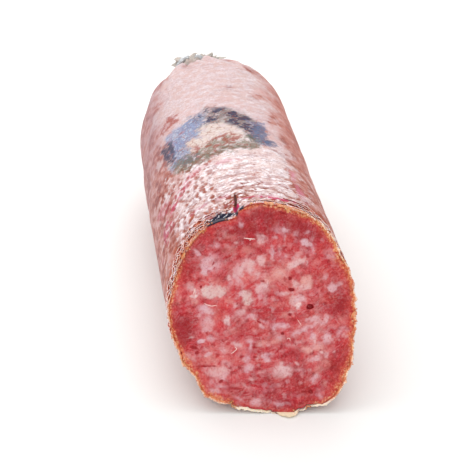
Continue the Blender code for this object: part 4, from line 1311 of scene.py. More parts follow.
def skin_paint():
    p = Paint("dried_casing_bloomed")
    bloom = p.attribute("Bloom")
    crease = p.attribute("Crease")
    netted = p.attribute("Netted")
    film = p.attribute("Film")
    slit = p.attribute("Slit")
    shade = p.attribute("Shade")
    ridge = p.attribute("Ridge")
    ontop = p.attribute("OnTop")
    gather = p.attribute("Gather")
    far = p.attribute("Far")
    turn, along, near = p.split(p.attribute("Where", True))
    across = p.mul(turn, 26.0 * math.pi / 180.0)  # mm round the section from the top
    mid = p.noise(0.42, 4.0, 0.62)
    fine = p.noise(1.7, 4.0, 0.65)
    grit = p.noise(5.5, 2.0, 0.6)
    wide = p.noise(0.11, 3.0, 0.55)
    streak = p.noise(1.0, 4.0, 0.6, vector=p.scaled((330.0, 1500.0, 330.0)))
    streak = p.mix(p.step(turn, 4.0, 22.0), streak, p.noise(0.9, 4.0, 0.65))
    crack = p.cell(1.0, vector=p.scaled((620.0, 1150.0, 620.0)), feature="DISTANCE_TO_EDGE")
    crack = p.mul(p.step(crack, 0.10, 0.02, 0.0, 1.0), p.step(fine, 0.40, 0.60))

    # the meat seen through the dried film
    level = p.add(p.mul(shade, 0.66), p.mul(p.sub(mid, 0.5), 0.60))
    level = p.add(level, p.mul(p.sub(streak, 0.5), 0.28))
    under = p.ramp(p.add(level, 0.20), SKIN_TONES)
    # the creases painted darker brown: partly the casing's own colour, partly painted shade in the creases
    under = p.mix(p.mul(crease, 0.60), under, SKIN_CREASE)
    # the dry bloom, with pink and tan patches: greyish in the hollows and white on the ridges, which is partly painted
    # shade and painted highlight
    high = p.add(ridge, p.mul(p.sub(fine, 0.5), 0.9))
    high = p.add(high, p.mul(p.sub(streak, 0.5), 0.7))
    bloom_with_painted_light = p.ramp(high, BLOOM_TONES)
    pink = p.mul(p.step(p.add(p.mul(wide, 0.6), p.mul(mid, 0.5)), 0.50, 0.68), p.step(along, 84.0, 100.0, 1.0, 0.3))
    bloom_with_painted_light = p.mix(p.mul(pink, 0.50), bloom_with_painted_light, BLOOM_PINK)
    # near the cut on top the raised wrinkles turn white: partly fresh bloom, partly painted highlight
    white_bloom_and_highlight = p.mul(p.mul(p.step(near, 56.0, 30.0), p.mul(p.step(turn, 8.0, 32.0, 1.0, 0.55), p.step(turn, -48.0, -22.0, 0.30, 1.0))), p.step(p.add(high, p.mul(p.sub(mid, 0.5), 0.6)), 0.28, 0.54))
    bloom_with_painted_light = p.mix(p.mul(white_bloom_and_highlight, 0.95), bloom_with_painted_light, BLOOM_WHITE)
    bloom_with_painted_light = p.mix(p.mul(p.step(p.math("SUBTRACT", mid, p.mul(fine, 0.3)), 0.28, 0.44), 0.40), bloom_with_painted_light, BLOOM_TAN)
    bloom_with_painted_light = p.mix(p.mul(p.step(p.math("ABSOLUTE", turn), 48.0, 78.0), 0.60), bloom_with_painted_light, BLOOM_DULL)
    cover = p.add(p.mul(bloom, 1.24), p.mul(p.sub(fine, 0.5), 0.60))
    cover = p.add(cover, p.mul(p.sub(mid, 0.5), 0.45))
    cover = p.sub(cover, p.mul(crease, p.add(0.22, p.mul(fine, 0.75))))
    cover = p.sub(cover, p.mul(netted, 1.05))
    blot = p.step(p.add(p.noise(0.21, 3.0, 0.6), p.mul(p.sub(mid, 0.5), 0.25)), 0.50, 0.64)
    cover = p.sub(cover, p.mul(p.mul(blot, p.step(near, 62.0, 24.0)), p.step(turn, 8.0, 34.0, 0.34, 0.56)))
    cover = p.sub(cover, p.mul(crack, 0.22))
    crisp = p.mul(p.step(near, 44.0, 22.0), p.step(p.math("ABSOLUTE", turn), 62.0, 34.0, 0.10, 1.0))
    cover = p.add(p.mul(p.step(cover, 0.02, 0.92), p.sub(1.0, crisp)), p.mul(p.step(cover, 0.16, 0.66), crisp))
    body = p.mix(p.mul(cover, 0.96), under, bloom_with_painted_light)
    # netted hollows painted brown: partly painted shade
    body = p.mix(p.mul(netted, p.step(fine, 0.30, 0.62, 0.40, 0.95)), body, SKIN_BROWN)
    warm = p.mul(p.step(near, 16.0, 3.0), p.mul(p.step(p.noise(0.30, 3.0, 0.6), 0.47, 0.60), p.step(ontop, 0.0, 1.0)))
    body = p.mix(p.mul(p.mul(warm, p.step(cover, 0.95, 0.30)), 0.60), body, SKIN_ORANGE)
    # thin dark crease lines near the cut: partly the casing's own colour, partly painted shade
    thin_crease = p.mul(p.step(crease, 0.32, 0.80), p.step(p.add(p.mul(grit, 0.5), p.mul(fine, 0.5)), 0.36, 0.54, 0.35, 1.0))
    close = p.step(near, 60.0, 20.0, 0.30, 1.0)
    body = p.mix(p.mul(p.mul(thin_crease, close), 0.95), body, SKIN_CREASE)
    hairline = p.mul(p.mul(crack, p.step(near, 52.0, 20.0)), p.step(mid, 0.42, 0.56))
    body = p.mix(p.mul(hairline, 0.50), body, SKIN_BROWN)

    dusk = p.mul(p.mul(p.step(turn, 26.0, 58.0), ontop), p.step(along, 40.0, 84.0, 0.35, 1.0))
    dusk = p.mul(dusk, p.step(along, 84.0, 104.0, 1.0, 1.35))
    body = p.mix(p.mul(dusk, p.step(wide, 0.35, 0.60, 0.30, 0.52)), body, SKIN_MAUVE)
    dusk = p.mul(p.mul(p.step(turn, -36.0, -60.0), ontop), p.step(along, 30.0, 70.0, 0.55, 1.0))
    body = p.mix(p.mul(dusk, p.step(wide, 0.40, 0.60, 0.22, 0.50)), body, SKIN_ROSY)

    body = print_fields(p, body, across, along, near, ontop, fine, grit, mid, wide)

    body = p.mix(p.mul(film, p.step(fine, 0.32, 0.6, 0.5, 1.0)), body, p.mix(grit, FILM_BROWN, FILM_ORANGE))
    # the slit in the casing painted near-black brown: partly the crack's own colour, partly painted shade inside it
    body = p.mix(p.mul(p.step(slit, 0.16, 0.50), p.step(p.add(along, p.mul(p.sub(fine, 0.5), 2.0)), 15.6, 17.8, 0.45, 1.0)), body, SLIT_BROWN)
    # the valleys of the gathered folds towards the neck painted darker: painted shade
    body = p.mix(p.mul(far, p.step(gather, 0.62, 0.25, 0.0, 0.55)), body, SKIN_CREASE)
    body = p.mix(p.mul(p.step(far, 0.93, 1.0), p.step(fine, 0.30, 0.56, 0.45, 0.85)), body, TUFT_GREY)

    # cream of the flap, and of the bottom edge where it is partly painted light over a shaded gap
    body = p.mix(p.mul(p.attribute("FlapCreamAndEdgeLight"), p.step(fine, 0.25, 0.5, 0.80, 1.0)), body, FLAP_CREAM)

    rough = p.add(0.46, p.mul(cover, 0.22))
    rough = p.add(rough, p.mul(p.sub(fine, 0.5), 0.20))
    height = p.add(p.mul(streak, 0.9), p.mul(fine, 0.8))
    height = p.add(height, p.mul(grit, 0.35))
    height = p.sub(height, p.mul(crack, 0.5))
    normal = p.bump(height, 0.55, 0.00030)
    return p.finish(
        body, rough, normal,
        Specular_IOR_Level=0.16,
        Subsurface_Weight=0.10, Subsurface_Radius=(1.0, 0.45, 0.35), Subsurface_Scale=0.0008,
    )


def print_fields(p, body, across, along, near, ontop, fine, grit, mid, wide):
    """A generic worn print: scraps of a ruled frame near the cut and an arched badge of plain colours behind it, and a
    painted fold shadow, a dark brown slanting line on the upper right flank.
    """
    worn = p.step(p.add(p.mul(fine, 0.75), p.mul(grit, 0.35)), 0.40, 0.66)
    worn = p.mul(worn, ontop)
    scraps = p.step(p.noise(0.16, 2.0, 0.5), 0.46, 0.60)
    wobble = p.mul(p.sub(mid, 0.5), 3.4)

    def band(value, centre, half, soft):
        off = p.math("ABSOLUTE", p.sub(value, centre))
        return p.step(off, half + soft, half, 0.0, 1.0)

    def within(value, low, high, soft):
        return p.mul(p.step(value, low - soft, low + soft), p.step(value, high - soft, high + soft, 1.0, 0.0))

    def lay(share, ink, strength, wear=worn):
        nonlocal body
        body = p.mix(p.mul(p.mul(share, wear), strength), body, ink)

    rows = p.add(along, wobble)
    cols = p.add(across, p.mul(wobble, 0.6))
    patchy = p.mul(worn, scraps)
    # ruled frame
    lay(p.mul(band(rows, 17.0, 0.8, 0.8), within(cols, 5.0, 11.5, 1.0)), INK_PINK, 0.60, patchy)
    beside = p.add(near, p.mul(wobble, 0.40))
    lay(p.mul(band(beside, 5.2, 0.42, 0.55), within(across, -23.0, -1.5, 1.0)), INK_MAGENTA, 0.88, p.mul(p.step(p.noise(0.38, 3.0, 0.6), 0.38, 0.50), p.mul(ontop, p.step(fine, 0.34, 0.50))))
    # not print: a painted shadow of a fold, a dark brown slanting line on the upper right flank
    lay(p.mul(band(p.sub(p.add(across, 20.4), p.mul(p.sub(p.add(along, wobble), 47.0), 0.454)), 0.0, 0.45, 1.0), within(along, 31.0, 49.0, 2.5)), SKIN_CREASE, 0.62, p.mul(ontop, p.step(mid, 0.36, 0.52)))
    # more of the ruled frame
    lay(p.mul(band(rows, 16.0, 0.9, 0.5), band(across, 1.2, 0.75, 0.40)), INK_MAGENTA, 0.98, ontop)
    lay(p.mul(band(p.add(near, p.mul(wobble, 0.45)), 2.9, 0.40, 0.45), within(across, 17.0, 25.5, 1.2)), INK_MAGENTA, 0.90)
    lay(p.mul(band(rows, 19.4, 0.22, 0.35), within(cols, -15.0, 17.0, 0.6)), INK_PINK, 0.55, patchy)
    lay(p.mul(band(rows, 24.5, 0.5, 0.8), within(cols, 2.0, 20.0, 0.8)), INK_PINK, 0.45, patchy)
    lay(p.mul(band(rows, 46.0, 1.0, 1.4), within(cols, -8.0, 30.0, 1.2)), INK_MAGENTA, 0.50, patchy)
    lay(p.mul(band(rows, 41.5, 1.2, 1.8), within(cols, 12.0, 30.0, 1.6)), INK_MAGENTA, 0.50, patchy)
    slant = p.add(cols, p.mul(p.sub(along, 28.0), 0.55))
    lay(p.mul(band(slant, 25.5, 2.4, 1.8), within(rows, 25.0, 46.0, 1.6)), INK_MAGENTA, 0.62, p.mul(p.step(p.add(p.mul(p.noise(0.45, 3.0, 0.6), 0.7), p.mul(fine, 0.3)), 0.48, 0.60), ontop))
    lay(p.mul(band(slant, 29.5, 0.8, 1.2), within(rows, 22.0, 36.0, 1.6)), INK_PINK, 0.60, patchy)
    lay(p.mul(band(cols, -19.5, 0.7, 1.2), within(rows, 19.0, 40.0, 1.2)), INK_PINK, 0.70, patchy)
    # navy strip with broken white bars at the cut edge
    tilt = p.add(near, p.math("MINIMUM", p.mul(p.math("MAXIMUM", p.sub(6.0, across), 0.0), 0.36), 1.95))
    strip = p.mul(within(p.add(across, p.mul(wobble, 0.4)), -1.6, 11.9, 0.6), p.step(p.add(tilt, p.mul(wobble, p.step(across, 0.0, 4.0, 0.2, 1.1))), 3.0, 2.2, 0.0, 1.0))
    body = p.mix(p.mul(strip, p.step(fine, 0.26, 0.44, 0.80, 1.0)), body, INK_NAVY)
    bars = p.math("SINE", p.mul(p.add(p.add(across, p.mul(near, 1.3)), p.mul(wobble, 0.9)), 2.3))
    pale = p.mul(p.step(bars, 0.60, 0.92), p.step(p.sub(fine, p.mul(p.step(across, 1.0, 9.0), 0.10)), 0.40, 0.50))
    body = p.mix(p.mul(strip, pale), body, BLOOM_WHITE)

    # the badge: a plain arch over a pale field, on a broken base line, all of it worn and cracked
    loose = p.mul(p.sub(p.noise(0.20, 4.0, 0.65), 0.5), 15.0)
    s = p.add(p.sub(across, 1.5), p.mul(loose, 0.7))
    t = p.sub(p.add(along, loose), 58.0)
    oval = p.math("SQRT", p.add(p.math("POWER", p.math("DIVIDE", s, 16.0), 2.0), p.math("POWER", p.math("DIVIDE", t, 26.0), 2.0)))
    upper = p.step(t, -3.0, 1.0)
    arch = p.mul(within(oval, 0.62, 1.04, 0.09), upper)
    field = p.mul(p.step(oval, 0.80, 0.60, 0.0, 1.0), p.step(t, -5.0, 0.0))
    flakes = p.step(p.add(p.add(p.mul(fine, 0.60), p.mul(mid, 0.80)), p.mul(p.noise(0.27, 2.0, 0.5), 0.30)), 0.66, 0.90, 0.0, 1.0)
    flakes = p.mul(flakes, ontop)
    solid = p.step(p.add(p.mul(mid, 0.9), p.mul(fine, 0.5)), 0.52, 0.74, 0.18, 1.0)
    solid = p.mul(solid, ontop)
    blots = p.step(p.add(p.noise(0.24, 3.0, 0.6), p.mul(p.sub(fine, 0.5), 0.35)), 0.46, 0.56)
    blue = p.mix(p.step(mid, 0.42, 0.58), INK_BLUE, INK_STEEL)
    blue = p.mix(p.mul(p.step(p.add(p.mul(fine, 0.5), p.mul(mid, 0.6)), 0.50, 0.64), 0.75), blue, INK_PALE)
    lay(field, INK_CREAM, 0.62, flakes)
    lay(arch, INK_SAGE, 0.80, solid)
    lay(p.mul(arch, p.step(s, 2.0, 8.0, 1.0, 0.0)), INK_NAVY_FADED, 0.95, p.mul(blots, ontop))
    lay(p.mul(arch, p.step(s, -1.0, 5.0)), blue, 0.90, solid)
    lay(p.mul(band(s, 10.5, 4.6, 2.0), band(t, 17.0, 6.5, 2.5)), blue, 0.90, solid)
    lay(p.mul(band(s, 16.6, 1.8, 1.4), band(t, 13.0, 5.0, 2.4)), INK_NAVY_FADED, 0.92, solid)
    lay(p.mul(band(s, 9.0, 2.0, 1.4), band(t, -1.5, 2.2, 1.6)), INK_STEEL, 0.80, solid)
    lay(p.mul(band(s, -14.5, 1.8, 1.4), band(t, 6.0, 8.0, 2.4)), INK_STEEL, 0.85, solid)
    lay(p.mul(band(s, 14.0, 2.8, 1.6), band(t, 32.0, 2.6, 2.0)), INK_RED, 0.80, solid)
    lay(p.mul(band(t, -1.5, 3.4, 1.8), within(s, -13.0, 15.0, 1.4)), INK_GREEN, 0.72, flakes)
    lay(p.mul(band(t, -4.0, 2.6, 1.8), within(s, -10.0, 11.0, 1.6)), INK_RED, 0.60, p.mul(p.step(p.noise(0.5, 2.0, 0.6), 0.50, 0.60), ontop))
    lay(p.mul(band(t, 2.2, 2.0, 1.6), within(s, -8.0, 8.0, 1.6)), INK_RED, 0.70, p.mul(blots, ontop))
    lay(p.mul(band(t, -5.6, 1.2, 1.4), within(s, -11.0, 13.0, 1.4)), INK_GREEN, 0.60, flakes)
    # cracks and wrinkles show through it
    worn_through = p.mul(p.mul(p.step(oval, 1.20, 0.95), p.step(t, -9.0, -4.0)), ontop)
    lines = p.cell(0.52, vector=p.scaled((850.0, 1450.0, 850.0)), feature="DISTANCE_TO_EDGE")
    lines = p.mul(p.step(p.sub(lines, p.mul(p.sub(fine, 0.5), 0.25)), 0.09, 0.01, 0.0, 1.0), p.step(mid, 0.40, 0.56))
    body = p.mix(p.mul(p.mul(worn_through, lines), 0.62), body, SKIN_BROWN)
    return body


# ---- the casing's dried edge ---------------------------------------------------------------------
def near_cut(angle, out_mm, forward_mm, floor=0.0):
    """A point out_mm outside the sausage's surface (negative is inside) and forward_mm in front of the cut."""
    radius = RADIUS * (1.0 + edge_wave(angle)) + np.asarray(out_mm) * MM
    y = cut_row(RADIUS, angle) * radius / RADIUS - np.asarray(forward_mm) * MM
    return place(radius, angle, y, floor)


def near_skin(angle, out_mm, back_mm):
    """A point out_mm outside the casing, back_mm behind the cut."""
    back = np.maximum(np.asarray(back_mm, float) + 0.0 * angle, -0.6)
    wave = edge_wave(angle) * edge_fade(np.degrees(angle) % 360.0, back)
    radius = RADIUS * (1.0 + wave) + np.asarray(out_mm) * MM
    return place(radius, angle, cut_row(RADIUS, angle) * radius / RADIUS + back * MM)


def add_lip():
    count = 2100
    angle = np.arange(count) * (2 * math.pi / count)
    deg = np.degrees(angle)
    ring = np.column_stack([np.cos(angle), np.sin(angle)]) * 26.0
    jag = fbm(ring / 1.6, 3, 201)
    fine = perlin(ring / 0.62, 202)
    finest = perlin(ring / 0.29, 203)
    reach = edge_reach(angle)
    rough = np.interp(deg, [0, 40, 75, 92, 122, 135, 160, 210, 236, 246, 262, 285, 312, 330, 360], [1.3, 1.3, 0.9, 0.35, 0.35, 0.8, 0.9, 0.8, 0.7, 0.45, 0.40, 0.40, 0.50, 1.1, 1.3])
    tooth = np.maximum(0.0, perlin(ring / 1.05, 206)) ** 2
    spike = np.maximum(0.0, perlin(ring / 0.50, 207)) ** 2
    high = 0.16 + reach * 0.8 + rough * (0.22 * np.maximum(0, jag) + 0.14 * fine + 0.10 * finest + 0.90 * tooth + 0.40 * spike)
    curl = np.interp(deg, [0, 60, 80, 95, 125, 140, 180, 215, 240, 250, 300, 325, 360], [0.24, 0.22, 0.10, 0.06, 0.06, 0.12, 0.12, 0.20, 0.18, 0.10, 0.10, 0.20, 0.24])
    curl = curl + rough * (0.14 * np.maximum(0, jag) + 0.10 * fine + 0.75 * tooth + 0.45 * spike + 0.05 * finest)
    broad = np.interp(deg, [0, 45, 75, 95, 123, 128, 148, 158, 185, 205, 240, 262, 285, 305, 360], [0.40, 0.40, 0.30, 0.12, 0.15, 0.60, 0.50, 0.25, 0.20, 0.30, 0.24, 0.20, 0.16, 0.18, 0.40])
    wide = broad * np.clip(0.9 + 2.2 * fbm(ring / 2.0 + 5, 3, 204), 0.10, 2.3)
    slope = 0.5 + 0.5 * perlin(ring / 1.1, 205)
    rows = [
        near_cut(angle, -0.12, -1.35),
        near_cut(angle, 0.02 + 0.02 * fine, -0.75),
        near_cut(angle, 0.30 * curl, -0.28 + 0.2 * high),
        near_cut(angle, 0.75 * curl, 0.55 * high),
        near_cut(angle, curl, high),
        near_cut(angle, curl - 0.16, high + 0.05),
        near_cut(angle, -0.12 - 0.35 * wide, 0.10 + 0.42 * high + 0.06 * finest),
        near_cut(angle, -0.20 - wide, 0.10 * slope + 0.08 * fine),
        near_cut(angle, -0.34 - wide * 1.15, -0.22),
        near_cut(angle, -0.60 - wide * 0.6, -1.3),
    ]
    rows = np.array(rows)
    n = len(rows)
    rows[..., 2] = np.maximum(rows[..., 2], 0.00004)
    points = rows.reshape(-1, 3)
    faces = ring_faces(n, count)
    i = np.arange(count)
    j = (i + 1) % count
    top = (n - 1) * count
    faces += np.stack([top + i, i, j, top + j], -1).tolist()
    if outward(points - CENTRE, faces) < 0:
        faces = [f[::-1] for f in faces]
    # Tip is 1 on the crest, where the material paints cream, partly as a painted highlight
    tip = np.repeat([0.0, 0.0, 0.30, 0.75, 1.0, 1.0, 0.42, 0.08, 0.0, 0.0], count)
    upper = smoothstep(20, 45, deg) * (1 - smoothstep(160, 200, deg))
    side = np.repeat([1.0, 1.0, 0.9, 0.6, 0.25, 0.0, 0.0, 0.0, 0.0, 0.0], count) * np.tile(upper, n)  # 1 on the casing's side
    tone = np.tile(0.5 + 0.8 * jag - 0.35 * smoothstep(122, 130, deg) * (1 - smoothstep(150, 165, deg)), n)
    pale = np.interp(deg, [0, 30, 50, 66, 80, 122, 135, 185, 205, 222, 240, 252, 300, 330, 360], [0.70, 0.75, 0.85, 0.60, 0.05, 0.05, 0.60, 0.60, 0.50, 0.72, 0.85, 1.0, 1.0, 0.92, 0.74])
    plain = smoothstep(238, 250, deg) * (1 - smoothstep(303, 315, deg))
    raw = smoothstep(48, 72, deg + 10 * jag) * (1 - smoothstep(124, 129, deg + 4 * jag))
    raw = np.maximum(raw, 0.85 * smoothstep(121, 126, deg + 4 * jag) * (1 - smoothstep(158, 178, deg + 8 * jag)))
    worn = fbm(ring / 1.3, 2, 208)
    navy = smoothstep(97.0, 98.5, deg + 1.2 * jag) * (1 - smoothstep(123.0, 125.5, deg + 1.2 * jag))
    navy = navy * smoothstep(-0.12, 0.06, worn + 0.5 * smoothstep(107, 112, deg) + 0.26 * (1 - smoothstep(103, 105, deg)) - 0.14)
    ob = mesh_piece("skin_lip", points, faces, {
        "Tip": tip, "Tone": tone, "Pale": np.tile(pale, n), "Side": side, "Navy": np.tile(navy, n), "Plain": np.tile(plain, n), "Raw": np.tile(raw, n),
    })
    ob.data.materials.append(lip_paint())
    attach(ob, "root")
    return ob


def lip_paint():
    p = Paint("dried_edge")
    tip, tone, pale = p.attribute("Tip"), p.attribute("Tone"), p.attribute("Pale")
    plain = p.attribute("Plain")
    fine = p.noise(3.2, 3.0, 0.6)
    mid = p.noise(0.9, 3.0, 0.6)
    level = p.add(p.mul(tone, 0.30), p.mul(mid, 0.84))
    level = p.add(level, p.mul(p.sub(fine, 0.5), 0.55))
    body = p.ramp(p.sub(level, 0.06), LIP_TONES)
    body = p.mix(p.mul(p.attribute("Raw"), 0.88), body, p.mix(p.step(p.add(p.mul(mid, 0.7), p.mul(tone, 0.3)), 0.40, 0.60), LIP_RAW, LIP_RUST))
    body = p.mix(p.mul(plain, 0.85), body, p.mix(p.step(mid, 0.40, 0.60), LIP_RAW, MEAT_WARM))
    skin = p.mix(p.step(fine, 0.40, 0.60), SKIN_BROWN, BLOOM_WHITE)
    body = p.mix(p.mul(p.attribute("Side"), 0.80), body, skin)
    speckled = p.step(p.add(p.mul(mid, 0.55), p.mul(fine, 0.55)), 0.46, 0.62, 0.05, 1.0)
    speckled = p.math("MAXIMUM", speckled, p.mul(plain, 0.95))
    # cream on the crest of the edge: partly the dried edge's own pale colour, partly painted highlight on the thin,
    # shiny crest
    rim = p.mul(p.step(tip, p.step(plain, 0.0, 1.0, 0.35, 0.0), p.step(plain, 0.0, 1.0, 0.90, 0.30)), speckled)
    body = p.mix(p.mul(rim, pale), body, LIP_CREAM)
    body = p.mix(p.mul(p.attribute("Navy"), p.step(fine, 0.30, 0.46, 0.80, 1.0)), body, INK_NAVY)
    rough = p.add(0.34, p.mul(fine, 0.3))
    normal = p.bump(p.add(fine, mid), 0.5, 0.00018)
    return p.finish(
        body, rough, normal, Specular_IOR_Level=0.5,
        Subsurface_Weight=0.2, Subsurface_Radius=(1.0, 0.6, 0.35), Subsurface_Scale=0.0008,
    )


# ---- loose film, crumbs and threads ------------------------------------------------------------------
def thin_sheet(grid, thick):
    """A closed sheet of the given thickness about a grid of points (rows, columns, 3)."""
    du = np.gradient(grid, axis=1)
    dv = np.gradient(grid, axis=0)
    normal = np.cross(du, dv)
    normal /= np.maximum(np.linalg.norm(normal, axis=-1, keepdims=True), 1e-12)
    thick = np.asarray(thick)
    if thick.ndim == 2:
        thick = thick[..., None]
    top, under = grid + normal * thick / 2, grid - normal * thick / 2
    rows, cols = grid.shape[:2]
    total = rows * cols
    points = np.concatenate([top.reshape(-1, 3), under.reshape(-1, 3)])
    r, c = np.meshgrid(np.arange(rows - 1), np.arange(cols - 1), indexing="ij")
    a = (r * cols + c).ravel()
    quads = np.stack([a, a + 1, a + cols + 1, a + cols], -1)
    faces = quads.tolist() + (quads[:, ::-1] + total).tolist()
    border = np.concatenate([
        np.arange(cols - 1),
        (cols - 1) + cols * np.arange(rows - 1),
        (rows - 1) * cols + np.arange(cols - 1, 0, -1),
        cols * np.arange(rows - 1, 0, -1),
    ])
    nxt = np.roll(border, -1)
    faces += np.stack([border, border + total, nxt + total, nxt], -1).tolist()
    return points, faces


def joined(name, parts, values, paint, smooth=True):
    """One piece from several closed meshes; values holds one array per part for each name."""
    points, faces, start = [], [], 0
    for pts, fcs in parts:
        points.append(pts)
        faces += [[i + start for i in f] for f in fcs]
        start += len(pts)
    data = {k: np.concatenate(v) for k, v in values.items()}
    ob = mesh_piece(name, np.concatenate(points), faces, data, smooth)
    ob.data.materials.append(paint)
    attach(ob, "root")
    return ob


# start and end in degrees, mm behind the cut, height and lean forward in mm
FOLDS = (
    (126, 136, 0.25, 0.60, 0.60), (122, 141, 0.80, 0.75, 0.60), (126, 150, 1.45, 0.80, 0.55),
    (121, 133, 2.15, 0.60, 0.50), (129, 148, 2.35, 0.75, 0.50), (124, 142, 3.20, 0.60, 0.45),
    (136, 156, 0.30, 0.70, 0.45), (139, 163, 1.00, 0.85, 0.45), (145, 168, 1.80, 0.80, 0.45),
    (142, 160, 2.70, 0.70, 0.40), (140, 158, 3.60, 0.60, 0.40), (150, 172, 0.40, 0.60, 0.35),
    (156, 182, 1.20, 0.80, 0.35), (160, 180, 2.20, 0.75, 0.35), (166, 186, 0.45, 0.55, 0.30),
    (170, 198, 1.35, 0.70, 0.30), (178, 204, 0.70, 0.55, 0.30), (184, 214, 1.60, 0.55, 0.30),
    (104, 120, 3.9, 0.40, 0.35), (112, 126, 4.8, 0.45, 0.35), (126, 142, 5.0, 0.50, 0.35),
    (28, 44, 0.60, 0.40, 0.40), (33, 52, 1.45, 0.42, 0.40), (42, 60, 0.85, 0.36, 0.45),
    (46, 68, 1.75, 0.30, 0.40), (58, 76, 0.95, 0.24, 0.40), (62, 86, 1.60, 0.24, 0.40), (70, 97, 2.6, 0.22, 0.35),
    (34, 50, 2.6, 0.34, 0.35), (54, 78, 3.2, 0.26, 0.35), (38, 56, 4.1, 0.30, 0.35),
    (24, 42, 3.4, 0.32, 0.35), (30, 50, 5.4, 0.30, 0.35), (46, 66, 4.8, 0.28, 0.35), (52, 72, 6.2, 0.24, 0.30),
)


def add_folds():
    parts, tips, tones = [], [], []
    for k, (a0, a1, back, tall, lean) in enumerate(FOLDS):
        cols = int((a1 - a0) * 5.0)
        deg = np.linspace(a0, a1, cols)
        angle = np.radians(deg)
        s = deg / 2.2
        line = np.column_stack([s, np.full(cols, 5.0 * k)])
        ends = np.sin(math.pi * np.linspace(0, 1, cols)) ** 0.55
        drift = back + 0.62 * fbm(line / 2.6, 2, 211) + 0.34 * perlin(line / 0.8, 216) + 0.16 * perlin(line / 0.38, 217)
        height = tall * ends * (0.60 + 0.75 * fbm(line / 1.2, 3, 212) + 0.60 * perlin(line / 0.50, 213))
        height = np.maximum(height, 0.02)
        tilt = lean * (1.0 + 1.1 * fbm(line / 1.0, 2, 214))
        rows = []
        levels = (-0.30, 0.0, 0.35, 0.7, 1.0)
        for t in levels:
            out = height * t if t > 0 else np.full(cols, t)
            rows.append(near_skin(angle, out, drift - tilt * max(t, 0.0) ** 1.6 * 1.1))
        grid = np.array(rows)
        thick = np.interp(levels, [-0.3, 0, 1], [0.00024, 0.00022, 0.00012])[:, None] * np.ones(cols)
        parts.append(thin_sheet(grid, thick))
        tip = np.repeat(np.clip(levels, 0, 1), cols)
        tips.append(np.tile(tip, 2))
        glazed = smoothstep(2.0, 0.5, drift) * smoothstep(120, 126, deg) * (1 - smoothstep(148, 158, deg))
        tones.append(np.tile(np.tile(0.5 + 0.8 * fbm(line / 0.9, 2, 215) - 0.45 * glazed, len(levels)), 2))
    return joined("skin_folds", parts, {"Tip": tips, "Tone": tones}, film_paint())


def film_paint():
    p = Paint("crumpled_film")
    tip, tone = p.attribute("Tip"), p.attribute("Tone")
    fine = p.noise(2.8, 3.0, 0.6)
    mid = p.noise(0.9, 3.0, 0.6)
    level = p.add(p.mul(tone, 0.30), p.mul(p.sub(fine, 0.5), 0.42))
    level = p.add(level, p.mul(mid, 0.40))
    # fold tips painted near white and their roots darker: partly the film's own pale edge, partly painted highlight and
    # painted shade
    level = p.add(level, p.mul(p.sub(tip, 0.60), 0.85))
    body = p.ramp(p.add(level, 0.07), FILM_TONES)
    rough = p.add(0.26, p.mul(fine, 0.28))
    normal = p.bump(p.add(fine, mid), 0.6, 0.00018)
    return p.finish(
        body, rough, normal, Specular_IOR_Level=0.5,
        Subsurface_Weight=0.2, Subsurface_Radius=(1.0, 0.6, 0.35), Subsurface_Scale=0.0006,
    )


# start and end in degrees, reach in over the face in mm, lift off the face in mm
TEARS = (
    (58.5, 62.5, 0.55, 0.40), (62.5, 67.0, 0.80, 0.50), (67.0, 74.5, 1.25, 0.50), (74.0, 79.0, 0.60, 0.30),
    (80.0, 85.5, 0.45, 0.22), (50.5, 54.5, 0.60, 0.45), (44.5, 47.5, 0.50, 0.30), (36.0, 40.0, 0.55, 0.30),
    (28.0, 31.0, 0.40, 0.25), (126.5, 130.5, 0.70, 0.55), (131.5, 135.0, 0.55, 0.50), (136.0, 140.0, 0.85, 0.60),
    (141.0, 143.5, 0.50, 0.45), (145.0, 149.5, 0.75, 0.50), (152.0, 155.0, 0.40, 0.30), (206.0, 212.0, 0.60, 0.30),
    (242.8, 246.2, 0.70, 0.35), (291.4, 295.2, 0.65, 0.30), (224.0, 229.0, 0.45, 0.22),
)


def add_tears():
    parts, tips, tones = [], [], []
    for k, (a0, a1, reach, lift) in enumerate(TEARS):
        cols = int((a1 - a0) * 6.0)
        angle = np.radians(np.linspace(a0, a1, cols))
        line = np.column_stack([np.linspace(a0, a1, cols) / 2.2, np.full(cols, 9.0 * k + 3.0)])
        ends = np.sin(math.pi * np.linspace(0.02, 0.98, cols)) ** 0.5
        span = reach * ends * np.clip(0.55 + 1.05 * fbm(line / 0.9, 3, 221) + 0.55 * perlin(line / 0.33, 222), 0.08, 1.5)
        ruffle = perlin(line / 0.6, 223)
        rows = []
        levels = np.linspace(-0.25, 1.0, 9)
        for t in levels:
            inward = 0.10 - span * max(t, 0.0) + (0.08 if t < 0 else 0.0)
            rise = 0.12 + lift * (0.55 * math.sin(math.pi * min(1, max(t, 0) * 1.1)) + 0.75 * max(t, 0) * (0.4 + ruffle))
            if t < 0:
                rise = np.full(cols, -0.6 + 2.0 * (t + 0.25))
            rows.append(near_cut(angle, inward, rise))
        grid = np.array(rows)
        grid = grid + NORMAL * (0.00010 * perlin(grid.reshape(-1, 3) / (0.9 * MM), 224).reshape(grid.shape[:2] + (1,)))
        grid[..., 2] = np.maximum(grid[..., 2], 0.0002)
        parts.append(thin_sheet(grid, np.full(grid.shape[:2], 0.00013)))
        tips.append(np.tile(np.repeat(np.clip(levels, 0, 1), cols), 2))
        tones.append(np.tile(np.tile(0.45 + 0.5 * ruffle, len(levels)), 2))
    return joined("torn_film", parts, {"Tip": tips, "Tone": tones}, torn_paint())


